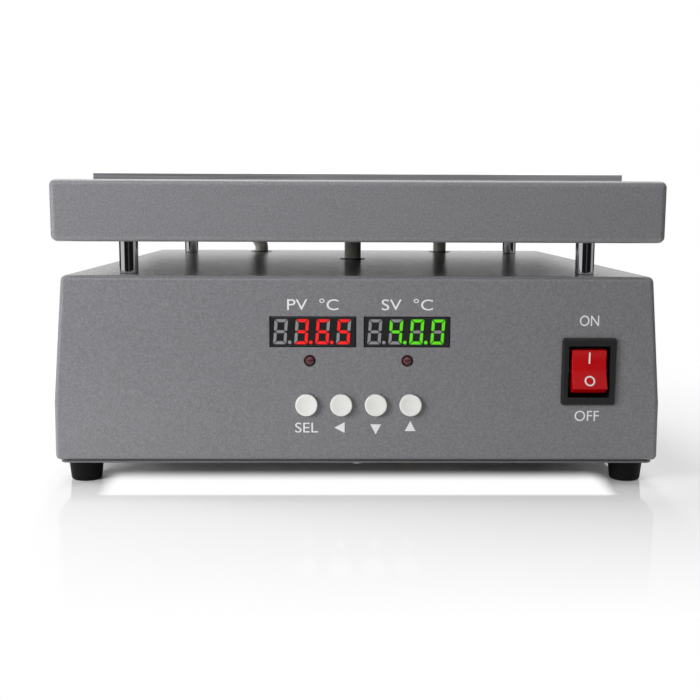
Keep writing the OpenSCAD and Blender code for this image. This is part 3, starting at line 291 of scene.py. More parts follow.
def joined(name, pieces):
    """Several pieces made one."""
    deselect()
    for piece in pieces:
        piece.select_set(True)
    bpy.context.view_layer.objects.active = pieces[0]
    if len(pieces) > 1:
        bpy.ops.object.join()
    piece = bpy.context.view_layer.objects.active
    piece.name = piece.data.name = name
    return piece


def cut(piece, cutters):
    """Take the joined cutters out of a piece."""
    tool = joined("cutter", cutters)
    modify(piece, "BOOLEAN", operation="DIFFERENCE", solver="EXACT", object=tool)
    mesh = tool.data
    bpy.data.objects.remove(tool)
    bpy.data.meshes.remove(mesh)


def copied(piece, name, matrix):
    """A copy with its own mesh, moved by a matrix."""
    twin = bpy.data.objects.new(name, piece.data.copy())
    bpy.context.scene.collection.objects.link(twin)
    twin.data.name = name
    twin.data.transform(matrix)
    if matrix.determinant() < 0:
        twin.data.flip_normals()
    return twin


def filleted(points, radius, steps=4):
    """An open line of points whose inner corners are rounded."""
    out = [Vector(points[0])]
    for before, corner, after in zip(points, points[1:], points[2:]):
        before, corner, after = Vector(before), Vector(corner), Vector(after)
        back, on = before - corner, after - corner
        reach = min(radius, 0.45 * back.length, 0.45 * on.length)
        start, end = corner + back.normalized() * reach, corner + on.normalized() * reach
        for step in range(steps + 1):
            share = step / steps
            out.append(start.lerp(corner, share).lerp(corner.lerp(end, share), share))
    return out + [Vector(points[-1])]


def turned(name, profile, place, axis, steps=72, ring=False):
    """A profile of radius and height in millimetres, spun round an axis: open at the axis, or a closed ring."""
    deselect()
    bpy.ops.mesh.primitive_circle_add(vertices=len(profile), radius=0.01, fill_type="NOTHING")
    piece = take(name)
    for vertex, (radius, height) in zip(piece.data.vertices, profile):
        vertex.co = (radius * MM, 0, height * MM)
    last = len(profile) - 1
    with editing(piece):
        if not ring:
            pick(piece, "EDGE", lambda edge: {v.index for v in edge.verts} == {0, last})
            bpy.ops.mesh.delete(type="EDGE")
        bpy.ops.mesh.select_mode(type="VERT")
        bpy.ops.mesh.select_all(action="SELECT")
        bpy.ops.mesh.spin(steps=steps, angle=2 * math.pi, center=(0, 0, 0), axis=(0, 0, 1))
        bpy.ops.mesh.select_all(action="SELECT")
        bpy.ops.mesh.remove_doubles(threshold=MERGE)
        bpy.ops.mesh.normals_make_consistent(inside=False)
    turn = UP.rotation_difference(Vector(axis)).to_matrix().to_4x4()
    piece.data.transform(Matrix.Translation(Vector(place)) @ turn)
    return piece


def outline_prism(name, points, across, start, end):
    """An outline of points, given at the start, extruded along a direction."""
    deselect()
    bpy.ops.mesh.primitive_circle_add(vertices=len(points), radius=0.01, fill_type="NGON")
    piece = take(name)
    for vertex, point in zip(piece.data.vertices, points):
        vertex.co = Vector(point) + across * start
    with editing(piece):
        bpy.ops.mesh.select_all(action="SELECT")
        bpy.ops.mesh.extrude_region_move(TRANSFORM_OT_translate={"value": across * (end - start)})
        bpy.ops.mesh.select_all(action="SELECT")
        bpy.ops.mesh.normals_make_consistent(inside=False)
    return piece


def softened(node, name, radius, degrees=40, segments=2, test=None):
    """A merged copy of a CAD node with its sharp edges rounded."""
    piece = bpy.data.objects.new(name, frame["nodes"][node].data.copy())
    bpy.context.scene.collection.objects.link(piece)
    piece.data.name = name
    activate(piece)
    bpy.ops.mesh.customdata_custom_splitnormals_clear()
    with editing(piece):
        bpy.ops.mesh.select_all(action="SELECT")
        bpy.ops.mesh.remove_doubles(threshold=MERGE)
        bpy.ops.mesh.dissolve_limited(angle_limit=math.radians(0.8))
        is_sharp = sharp(degrees)
        pick(piece, "EDGE", lambda edge: is_sharp(edge) and (test is None or test(edge)))
        bpy.ops.mesh.bevel(offset=radius, segments=segments, affect="EDGES", clamp_overlap=True)
    smooth(piece)
    return piece


def dress(piece, finish, *nodes, slot=None, body="platform"):
    """Give a finished piece its material and its body, and hide the nodes it stands for.

    The slot is not used.
    """
    piece.data.materials.clear()
    piece.data.materials.append(bpy.data.materials[finish])
    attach(piece, body)
    if nodes:
        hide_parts(*nodes)


def repeated(first, nodes, word, new_word, finish):
    """Copies of a piece at each of the nodes, named after them, in place of the first."""
    for node in nodes:
        at = centre(node)
        piece = copied(first, node.replace(word, new_word), Matrix.Translation((at.x, at.y, 0)))
        dress(piece, finish, node)
    bpy.data.objects.remove(first)


# Finishes, each a node material that reads Object coordinates, or the UV map of a sleeve; the paint's painted edge
# highlight also reads the object-space normal

class Wiring:
    """A node tree, and short ways to add nodes and links to it."""

    def __init__(self, tree):
        self.tree = tree

    def node(self, kind, **values):
        made = self.tree.nodes.new("ShaderNode" + kind)
        for key, value in values.items():
            setattr(made, key, value)
        return made

    def link(self, source, target):
        self.tree.links.new(source, target)

    def math(self, operation, first, second=0):
        made = self.node("Math", operation=operation)
        for socket, value in zip(made.inputs, (first, second)):
            if hasattr(value, "is_output"):
                self.link(value, socket)
            else:
                socket.default_value = value
        return made.outputs[0]

    def mapped(self, value, from_low, from_high, to_low, to_high, interpolation="LINEAR"):
        made = self.node("MapRange", interpolation_type=interpolation)
        limits = {"From Min": from_low, "From Max": from_high, "To Min": to_low, "To Max": to_high}
        for key, number in limits.items():
            made.inputs[key].default_value = number
        self.link(value, made.inputs["Value"])
        return made.outputs["Result"]

    def spread(self, value, low, high, from_low=0.3, from_high=0.7):
        """The middle of a pattern's values, laid over a range."""
        return self.mapped(value, from_low, from_high, low, high)

    def step(self, value, start, end):
        """A smooth rise from 0 to 1 between two values, or a fall if the first is the greater."""
        low, high = sorted((start, end))
        return self.mapped(value, low, high, start > end, start < end, "SMOOTHSTEP")

    def ramp(self, value, stops):
        """Colours at places from 0 to 1, blended between them."""
        made = self.node("ValToRGB")
        elements = made.color_ramp.elements
        while len(elements) < len(stops):
            elements.new(0.5)
        for i, (position, colour) in enumerate(stops):
            elements[i].position = position
            elements[i].color = colour
        self.link(value, made.inputs["Fac"])
        return made.outputs["Color"]

    def grey_ramp(self, value, stops):
        return self.ramp(value, [(position, (grey, grey, grey, 1)) for position, grey in stops])


class Finish(Wiring):
    """A Principled material whose colour, gloss and relief vary over the piece."""

    def __init__(self, name):
        plain = bpy.data.materials.get(name)
        if plain:
            plain.name = name + "_plain"
        self.material = bpy.data.materials.new(name)
        self.material.use_nodes = True
        super().__init__(self.material.node_tree)
        self.shader = self.tree.nodes["Principled BSDF"]
        self.place = self.node("TexCoord").outputs["Object"]

    def noise(self, scale, detail=2.0, place=None):
        made = self.node("TexNoise")
        made.inputs["Scale"].default_value = scale
        made.inputs["Detail"].default_value = detail
        self.link(place or self.place, made.inputs["Vector"])
        return made.outputs["Fac"]

    def stretched(self, scale):
        """The place on the piece, with its own scale along each axis."""
        made = self.node("Mapping")
        made.inputs["Scale"].default_value = scale
        self.link(self.place, made.inputs["Vector"])
        return made.outputs["Vector"]

    def blend(self, first, share, second, other_share):
        """Two patterns added, each by its share."""
        first, second = self.math("MULTIPLY", first, share), self.math("MULTIPLY", second, other_share)
        return self.math("ADD", first, second)

    def colour(self, value, *stops, low=0.3, high=0.7):
        """Colours, evenly spaced over the middle of a pattern's values."""
        spaced = [(low + (high - low) * i / (len(stops) - 1), stop) for i, stop in enumerate(stops)]
        self.link(self.ramp(value, spaced), self.shader.inputs["Base Color"])

    def roughness(self, pattern, low, high):
        self.link(self.spread(pattern, low, high), self.shader.inputs["Roughness"])

    def relief(self, *layers):
        """Bumps of a height in metres, each on the one before."""
        normal = None
        for value, depth in layers:
            bump = self.node("Bump")
            bump.inputs["Strength"].default_value = 1.0
            bump.inputs["Distance"].default_value = depth
            self.link(value, bump.inputs["Height"])
            if normal:
                self.link(normal, bump.inputs["Normal"])
            normal = bump.outputs["Normal"]
        self.link(normal, self.shader.inputs["Normal"])

    def set(self, **values):
        """Even values, straight on the shader's sockets."""
        for key, value in values.items():
            self.shader.inputs[key.replace("_", " ")].default_value = value


def shade(colour, factor):
    """A colour made darker or lighter."""
    return tuple(min(1.0, channel * factor) for channel in colour[:3]) + (1.0,)


# Name: colour, metallic, roughness, colour spread, grain per metre, relief in metres, other sockets
PLAIN_FINISHES = {
    "zinc_steel": (tone(205, 206, 208), 1, 0.34, 0.10, 700, 4e-6, {}),
    "black_rubber": (tone(11, 11, 12), 0, 0.55, 0.25, 1500, 3e-5, {"Specular IOR Level": 0.12}),
    "bush_rubber": (tone(52, 52, 53), 0, 0.22, 0.10, 1500, 5e-6, {}),
    "ceramic_white": (tone(233, 228, 214), 0, 0.50, 0.05, 900, 2e-5, {}),
    "insulation_felt": (tone(226, 219, 198), 0, 0.90, 0.10, 1100, 2e-4, {"Sheen Weight": 0.3}),
    "heater_sheath": (tone(118, 108, 100), 1, 0.42, 0.20, 300, 1e-5, {}),
    "wire_insulation": (tone(92, 58, 42), 0, 0.45, 0.08, 500, 1e-5, {}),
    "board_green": (tone(22, 92, 52), 0, 0.35, 0.12, 260, 1.5e-5, {"Coat Weight": 0.3}),
    "part_black": (tone(34, 34, 36), 0, 0.50, 0.15, 900, 1.2e-5, {}),
    "inlet_black": (tone(30, 30, 31), 0, 0.42, 0.12, 1600, 1.5e-5, {}),
    "display_black": (tone(33, 33, 34), 0, 0.16, 0.06, 400, 1e-6,
                      {"Coat Weight": 0.5, "Coat Roughness": 0.04}),
    "lamp_lens": (tone(66, 18, 20), 0, 0.16, 0.10, 300, 1e-6,
                  {"Coat Weight": 0.3, "Coat Roughness": 0.05}),
    "key_white": (tone(208, 208, 205), 0, 0.34, 0.02, 900, 6e-6, {}),
    "plunger_grey": (tone(58, 58, 60), 0, 0.50, 0.10, 900, 1e-5, {}),
    "switch_black": (tone(22, 22, 23), 0, 0.42, 0.10, 1800, 1.2e-5, {"Specular IOR Level": 0.35}),
    "contact_brass": (tone(214, 190, 128), 1, 0.28, 0.10, 500, 4e-6, {}),
    "fuse_glass": (tone(222, 224, 226), 1, 0.20, 0.04, 500, 2e-6, {}),
    "core_lacquer": (tone(72, 60, 48), 0, 0.40, 0.20, 500, 4e-5, {"Coat Weight": 0.2}),
    "part_blue": (tone(46, 78, 140), 0, 0.35, 0.08, 500, 8e-6, {}),
    "digit_unlit": (tone(124, 124, 126), 0, 0.35, 0.04, 700, 2e-6, {}),
}


def plain_finishes():
    """The finishes of the table: a broad pattern in the colour, and a fine one in gloss and relief."""
    for name, (colour, metallic, rough, spread, grain, depth, sockets) in PLAIN_FINISHES.items():
        finish = Finish(name)
        broad, fine = finish.noise(grain / 25, 3), finish.noise(grain, 3)
        finish.colour(broad, shade(colour, 1 - spread), colour, shade(colour, 1 + spread))
        finish.roughness(fine, rough * 0.85, rough * 1.15)
        finish.relief((fine, depth))
        finish.set(Metallic=metallic)
        for key, value in sockets.items():
            finish.shader.inputs[key].default_value = value


def paint_finish(name, share=1.0, edge_highlight=0.0):
    """Textured powder coat: an orange peel with a finer sand on it, and a painted highlight along its upper
    rounded edges.
    """
    colour = shade(settings().sheet.paint, share)
    finish = Finish(name)
    peel, sand = finish.noise(1250, 2), finish.noise(2600, 2)
    grain = finish.blend(peel, 0.6, sand, 0.4)
    finish.colour(grain, shade(colour, 0.84), colour, shade(colour, 1.18), low=0.36, high=0.64)
    finish.roughness(sand, 0.18, 0.26)
    finish.relief((peel, 8.5e-5), (sand, 3e-5))
    # With edge_highlight the colour is raised on upward-facing rounded edges, a painted highlight where light
    # would catch them
    if edge_highlight:
        upward = finish.node("SeparateXYZ")
        finish.link(finish.node("TexCoord").outputs["Normal"], upward.inputs[0])
        rise = upward.outputs["Z"]
        # The upper part of a rounded edge, but not the level sheet next to it, is where the painted highlight
        # lightens the paint
        edge = finish.math("MULTIPLY", finish.step(rise, 0.68, 0.88), finish.step(rise, 1.0, 0.99))
        painted_highlight = finish.math("MULTIPLY", edge, finish.spread(grain, 0.8 * edge_highlight, edge_highlight))
        highlight_gain = finish.math("ADD", 1.0, painted_highlight)
        paint = finish.shader.inputs["Base Color"].links[0].from_socket
        highlighted = finish.node("VectorMath", operation="SCALE")
        finish.link(paint, highlighted.inputs[0])
        finish.link(highlight_gain, highlighted.inputs["Scale"])
        finish.link(highlighted.outputs[0], finish.shader.inputs["Base Color"])
    finish.set(Specular_IOR_Level=0.5)


def metal_finishes():
    """Polished posts, and the milled plate with its fine lines along X."""
    finish = Finish("polished_steel")
    colour = tone(226, 226, 230)
    turning = finish.noise(1, 2, finish.stretched((60, 60, 2600)))
    finish.colour(finish.noise(60, 2), shade(colour, 0.96), colour)
    finish.roughness(turning, 0.03, 0.07)
    finish.relief((turning, 6e-7))
    finish.set(Metallic=1.0)

    finish = Finish("plate_aluminium")
    colour = tone(214, 213, 216)
    lines = finish.noise(1, 4, finish.stretched((14, 1500, 1500)))
    mixed = finish.blend(lines, 0.65, finish.noise(16, 3), 0.35)
    finish.colour(mixed, shade(colour, 0.82), colour, shade(colour, 1.06), low=0.38, high=0.62)
    finish.roughness(lines, 0.26, 0.40)
    finish.relief((lines, 4e-6))
    finish.set(Metallic=1.0)


def sleeve_finish(name, colour, strands):
    """Braided glass sleeve: two families of strands that cross, laid out on the piece's own UV map."""
    finish = Finish(name)
    split = finish.node("SeparateXYZ")
    finish.link(finish.node("UVMap", uv_map="UVMap").outputs["UV"], split.inputs[0])
    around = finish.math("MULTIPLY", split.outputs["X"], strands)
    crossing = []
    for sign in (1, -1):
        phase = finish.math("ADD", around, finish.math("MULTIPLY", split.outputs["Y"], sign * strands))
        wave = finish.math("SINE", finish.math("MULTIPLY", phase, math.pi))
        crossing.append(finish.math("ABSOLUTE", wave))
    braid = finish.math("MULTIPLY", *crossing)
    fray = finish.noise(1800, 3)
    mixed = finish.blend(braid, 0.7, fray, 0.5)
    finish.colour(mixed, shade(colour, 0.45), colour, shade(colour, 1.5), low=0.25, high=0.85)
    finish.roughness(fray, 0.5, 0.8)
    finish.relief((braid, 3.5e-4), (fray, 1e-4))
    finish.set(Sheen_Weight=0.15)


def glowing_finish(name, colour):
    """The lit segments of a display."""
    finish = Finish(name)
    bright, soft = tuple(colour) + (1.0,), finish.noise(420, 2)
    finish.colour(soft, shade(bright, 0.32), shade(bright, 0.38))
    finish.roughness(soft, 0.3, 0.4)
    finish.set(Emission_Color=bright, Emission_Strength=settings().controls.glow)


def moulded_red_finish():
    """The rocker's smooth red plastic."""
    finish = Finish("switch_red")
    colour = tone(166, 1, 7)
    finish.colour(finish.noise(40, 3), shade(colour, 0.9), colour, shade(colour, 1.08))
    fine = finish.noise(900, 2)
    finish.roughness(fine, 0.20, 0.28)
    finish.relief((fine, 2e-6))
    finish.set(Specular_IOR_Level=0.22)


def printed_finish():
    """The ink of the words, the arrows and the rocker's marks."""
    finish = Finish("printed_white")
    colour = tuple(settings().controls.marks) + (1.0,)
    ink = finish.noise(2600, 3)
    finish.colour(ink, shade(colour, 0.90), colour)
    finish.roughness(ink, 0.45, 0.6)
    finish.relief((ink, 8e-6))


class PLATFORM_OT_finishes(bpy.types.Operator):
    """Make the finishes and give them to the CAD nodes, each by its slot in the record"""
    bl_idname = "platform.finishes"
    bl_label = "Finishes"

    def execute(self, context):
        controls = settings().controls
        plain_finishes()
        # grey_paint and tray_paint lighten their upper rounded edges as a painted highlight, far more on the tray
        paint_finish("grey_paint", edge_highlight=0.6)
        paint_finish("tray_paint", edge_highlight=2.6)
        # The bottom plate's paint is the grey paint darkened to 0.6, as painted shade
        paint_finish("underside_paint", 0.6)
        metal_finishes()
        sleeve_finish("glass_sleeve", tone(184, 180, 172), 14)
        sleeve_finish("sensor_sleeve", tone(150, 147, 141), 16)
        glowing_finish("digit_red", controls.actual_colour)
        glowing_finish("digit_green", controls.set_colour)
        moulded_red_finish()
        printed_finish()
        for part in frame["record"]["subparts"]:
            node = frame["nodes"][part["node"]]
            for slot in node.material_slots:
                slot.material = bpy.data.materials[part["material_slot"]]
        return {"FINISHED"}


# Stage

class PLATFORM_OT_stage(bpy.types.Operator):
    """Set the camera, the pale floor, the white surroundings and the soft lights"""
    bl_idname = "platform.stage"
    bl_label = "Stage"

    # Where each change on the floor starts and ends, in metres from the middle of the base, with the share that
    # is mirrored far away, and the share of white that the paling starts from
    MIRROR_FADES, MIRROR_FAR = (0.150, 0.170), 0.15
    PALES, PALES_FROM, PALES_IN = (0.165, 0.30), 0.3, (0.125, 0.15)
    OPENS = (0.30, 0.50)
    # The white strip ahead of the base: where it starts and stops from the middle, and where its ends fade
    STRIP_STARTS, STRIP_STOPS, STRIP_ENDS = (0.109, 0.133), (0.159, 0.154), (0.126, 0.115)

    # What polished pieces mirror, as places and strengths. ROUND goes by the share of a full turn, from the
    # left by the front, the right and the back, and HEIGHT from straight down at 0 to straight up at 1
    PANELS_ROUND = ((0.0, 0.62), (0.112, 0.62), (0.135, 0.008), (0.25, 0.008), (0.262, 0.06),
                    (0.285, 0.06), (0.30, 0.008), (0.43, 0.008), (0.455, 0.35), (0.53, 0.35),
                    (0.56, 0.02), (0.96, 0.02), (0.98, 0.62))
    LOW_SKY_HEIGHT = ((0.0, 0), (0.495, 0), (0.505, 1.0), (0.66, 0.95), (1.0, 0.5))
    LOW_SKY_ROUND = ((0.0, 0.3), (0.66, 0.3), (0.70, 1.0), (0.80, 1.0), (0.84, 0.3))
    OVERHEAD_HEIGHT = ((0.0, 0), (0.60, 0), (0.70, 1.0), (1.0, 0.9))

    # Each light by its setting: its name, its place, and the angle of a sun or the width of a soft box
    SUNS = {"sun": ("front_light", (-0.45, -1.0, 1.35), 35),
            "top": ("top_light", (0, 0, 1.5), 40)}
    SOFT_BOXES = {"key": ("key_light", (-0.66, -0.60, 0.30), 0.4),
                  "fill": ("fill_light", (0.1, -1.2, 0.115), 0.3),
                  "side": ("side_light", (-1.1, 0.25, 0.13), 0.35),
                  "rim": ("rear_light", (0.0, 0.95, 0.75), 0.6)}
    AIM = Vector((0, 0, 0.08))

    def execute(self, context):
        stage = settings().stage
        self.camera(context.scene, stage)
        self.floor(stage)
        self.surroundings(context.scene, stage)
        self.lamps(stage)
        context.scene.view_settings.view_transform = "Standard"
        return {"FINISHED"}

    def camera(self, scene, stage):
        camera = bpy.data.objects.new("camera", bpy.data.cameras.new("camera"))
        scene.collection.objects.link(camera)
        scene.camera = camera
        camera.data.lens, camera.data.sensor_width = stage.lens, 36
        camera.data.clip_start, camera.data.clip_end = 0.01, 50
        down, side, roll = stage.pitch, stage.yaw, stage.roll
        level = Vector((math.cos(side), -math.sin(side), 0))
        ahead = Vector((math.sin(side) * math.cos(down), math.cos(side) * math.cos(down), -math.sin(down)))
        above = level.cross(ahead)
        across = level * math.cos(roll) + above * math.sin(roll)
        above = above * math.cos(roll) - level * math.sin(roll)
        turn = Matrix((across, above, -ahead)).transposed().to_4x4()
        camera.matrix_world = Matrix.Translation(Vector(stage.camera_place)) @ turn

    def floor(self, stage):
        deselect()
        bpy.ops.mesh.primitive_circle_add(vertices=128, radius=6, fill_type="NGON")
        floor = take("floor")
        finish = Finish("floor")
        finish.tree.nodes.remove(finish.shader)
        split = finish.node("SeparateXYZ")
        finish.link(finish.place, split.inputs[0])
        sideways = finish.math("ABSOLUTE", split.outputs["X"])
        middle = (PANEL_Y + REAR_Y) / 2
        ahead = finish.math("SUBTRACT", middle, split.outputs["Y"])
        away = finish.math("MAXIMUM", sideways, finish.math("ABSOLUTE", ahead))
        path = finish.node("LightPath").outputs
        surface = self.mirrored_floor(finish, away, stage)
        surface = self.pale_floor(finish, away, sideways, ahead, path, surface)
        # What shines on the object mirrors the soft panels all round, also below the horizon
        open_air = finish.math("MULTIPLY", finish.spread(away, 0, 1, *self.OPENS), path["Is Glossy Ray"])
        surface = self.mixed(finish, open_air, surface, finish.node("BsdfTransparent"))
        # The object is seen through the floor from below
        below = finish.node("NewGeometry").outputs["Backfacing"]
        surface = self.mixed(finish, below, surface, finish.node("BsdfTransparent"))
        finish.link(surface.outputs[0], finish.tree.nodes["Material Output"].inputs["Surface"])
        floor.data.materials.append(finish.material)

    def mixed(self, finish, share, first, second):
        """The first surface, with a share of the second."""
        made = finish.node("MixShader")
        for source, socket in zip((share, first.outputs[0], second.outputs[0]), made.inputs):
            finish.link(source, socket)
        return made

    def mirrored_floor(self, finish, away, stage):
        """A white floor whose mirror image fades away from the base."""
        diffuse, glossy = finish.node("BsdfDiffuse"), finish.node("BsdfGlossy")
        diffuse.inputs["Color"].default_value = tuple(stage.floor_colour) + (1,)
        glossy.inputs["Color"].default_value = (1, 1, 1, 1)
        finish.link(finish.spread(finish.noise(30, 2), 0.02, 0.035), glossy.inputs["Roughness"])
        share = finish.spread(away, stage.mirror, self.MIRROR_FAR, *self.MIRROR_FADES)
        return self.mixed(finish, share, diffuse, glossy)

    def pale_floor(self, finish, away, sideways, ahead, path, surface):
        """The floor pales to pure white for the camera, away from the base and in a strip at its front."""
        paling = finish.math("MULTIPLY", finish.spread(away, self.PALES_FROM, 1, *self.PALES),
                             finish.step(away, *self.PALES_IN))
        # Between the front feet the floor shows no mirror image of the dark underside
        strip = finish.math("MULTIPLY", finish.step(ahead, *self.STRIP_STARTS), finish.math(
            "MULTIPLY", finish.step(ahead, *self.STRIP_STOPS), finish.step(sideways, *self.STRIP_ENDS)))
        seen = finish.math("MAXIMUM", path["Is Camera Ray"], path["Is Transmission Ray"])
        share = finish.math("MULTIPLY", finish.math("MAXIMUM", paling, strip), seen)
        return self.mixed(finish, share, surface, finish.node("Emission"))

    def surroundings(self, scene, stage):
        """White for the camera, an even light for the object, and soft panels for what is mirrored."""
        scene.world = bpy.data.worlds.new("studio")
        scene.world.use_nodes = True
        world = Wiring(scene.world.node_tree)
        background = world.tree.nodes["Background"]
        background.inputs["Color"].default_value = (1, 1, 1, 1)
        direction = world.node("TexCoord").outputs["Generated"]
        bearing, height = world.node("TexGradient", gradient_type="RADIAL"), world.node("SeparateXYZ")
        world.link(direction, bearing.inputs["Vector"])
        world.link(direction, height.inputs[0])
        round_about, level = bearing.outputs["Fac"], world.spread(height.outputs["Z"], 0, 1, -1, 1)
        low_sky = world.math("MULTIPLY", world.grey_ramp(level, self.LOW_SKY_HEIGHT),
                             world.grey_ramp(round_about, self.LOW_SKY_ROUND))
        above = world.math("MAXIMUM", low_sky, world.grey_ramp(level, self.OVERHEAD_HEIGHT))
        mirrored = world.math("MAXIMUM", world.grey_ramp(round_about, self.PANELS_ROUND), above)
        path = world.node("LightPath").outputs
        seen = world.math("MAXIMUM", path["Is Camera Ray"], path["Is Transmission Ray"])
        lit = world.math("SUBTRACT", 1.0, world.math("MAXIMUM", seen, path["Is Glossy Ray"]))
        strength = world.math("ADD", seen, world.math("MULTIPLY", mirrored, path["Is Glossy Ray"]))
        world.link(world.math("ADD", strength, world.math("MULTIPLY", lit, stage.sky)),
                   background.inputs["Strength"])

    def lamps(self, stage):
        for setting, (name, place, degrees) in self.SUNS.items():
            self.lamp(name, "SUN", place, getattr(stage, setting), angle=math.radians(degrees))
        for setting, (name, place, width) in self.SOFT_BOXES.items():
            lamp = self.lamp(name, "AREA", place, getattr(stage, setting), size=width)
            lamp.visible_glossy = False

    def lamp(self, name, kind, place, energy, **values):
        light = bpy.data.lights.new(name, kind)
        light.energy = energy
        for key, value in values.items():
            setattr(light, key, value)
        lamp = bpy.data.objects.new(name, light)
        bpy.context.scene.collection.objects.link(lamp)
        lamp.location = place
        lamp.rotation_mode = "QUATERNION"
        lamp.rotation_quaternion = (self.AIM - Vector(place)).to_track_quat("-Z", "Y")
        return lamp


# Sheet metal

def slot_cutter(middle, length, width, depth):
    """A cutter for an air slot in the back, with round ends along X."""
    half = Vector((length / 2, depth / 2, width / 2))
    piece = block("slot", middle - half, middle + half)
    round_edges(piece, runs(BACK, 0.9 * depth), width / 2, 8)
    return piece


def hole(place, radius, axis):
    """A round cutter through a sheet."""
    reach = axis * (OPENING * MM) / 2
    return rod("hole", Vector(place) - reach, Vector(place) + reach, radius)


def window(node, face_y, width, height):
    """A cutter for a straight opening in a face of the base, over the middle of a node."""
    at, half = centre(node), Vector((width / 2, OPENING * MM / 2, height / 2))
    place = Vector((at.x, face_y, at.z))
    return block("window", place - half, place + half)


def lead_columns():
    """X of the left lead at the tray and at the base, X of the right lead, and their Y."""
    return (-67 * MM, -63 * MM, 63.5 * MM), TRAY_HIGH.y - 10.3 * MM


def lead_places(left_x):
    """Where the leads pass a sheet, each with its radius, by the place of the left one."""
    (_, _, right_x), y = lead_columns()
    probe = centre("thermocouple_probe")
    return [(left_x, y, HEATER_LEAD * MM), (right_x, y, HEATER_LEAD * MM),
            (probe.x, probe.y, SENSOR_LEAD * MM)]


def leads_at_base():
    return lead_places(lead_columns()[0][1])


def leads_at_tray():
    return lead_places(lead_columns()[0][0])


def sheet_holes(leads, level):
    """Cutters for the posts' studs and the leads' bushes, in a level sheet."""
    cutters = [hole((centre(n).x, centre(n).y, level), STUD_HOLE * MM, UP) for n in POSTS]
    return cutters + [hole((x, y, level), radius + BUSH * MM, UP) for x, y, radius in leads]


def sheet_shell(piece, edge, wall, opening_normal, opening_inset):
    """Round a block's edges, open one side inside a rim, and give the sheet its thickness."""
    round_edges(piece, sharp(30), edge, 7)
    face_level = max(v.co.dot(opening_normal) for v in piece.data.vertices)
    with editing(piece):
        pick(piece, "FACE", lambda f: f.normal.dot(opening_normal) > 0.999
             and f.calc_center_median().dot(opening_normal) > face_level - 1e-5)
        bpy.ops.mesh.inset(thickness=opening_inset - edge)
        bpy.ops.mesh.delete(type="FACE")
    modify(piece, "SOLIDIFY", thickness=wall, offset=-1, use_even_offset=True, use_quality_normals=True)


def finish_sheet(piece, cut_edge):
    """Round the edges round the openings of a sheet."""
    modify(piece, "BEVEL", width=cut_edge, segments=2, limit_method="ANGLE", angle_limit=math.radians(40),
           harden_normals=False)
    smooth(piece, 30)


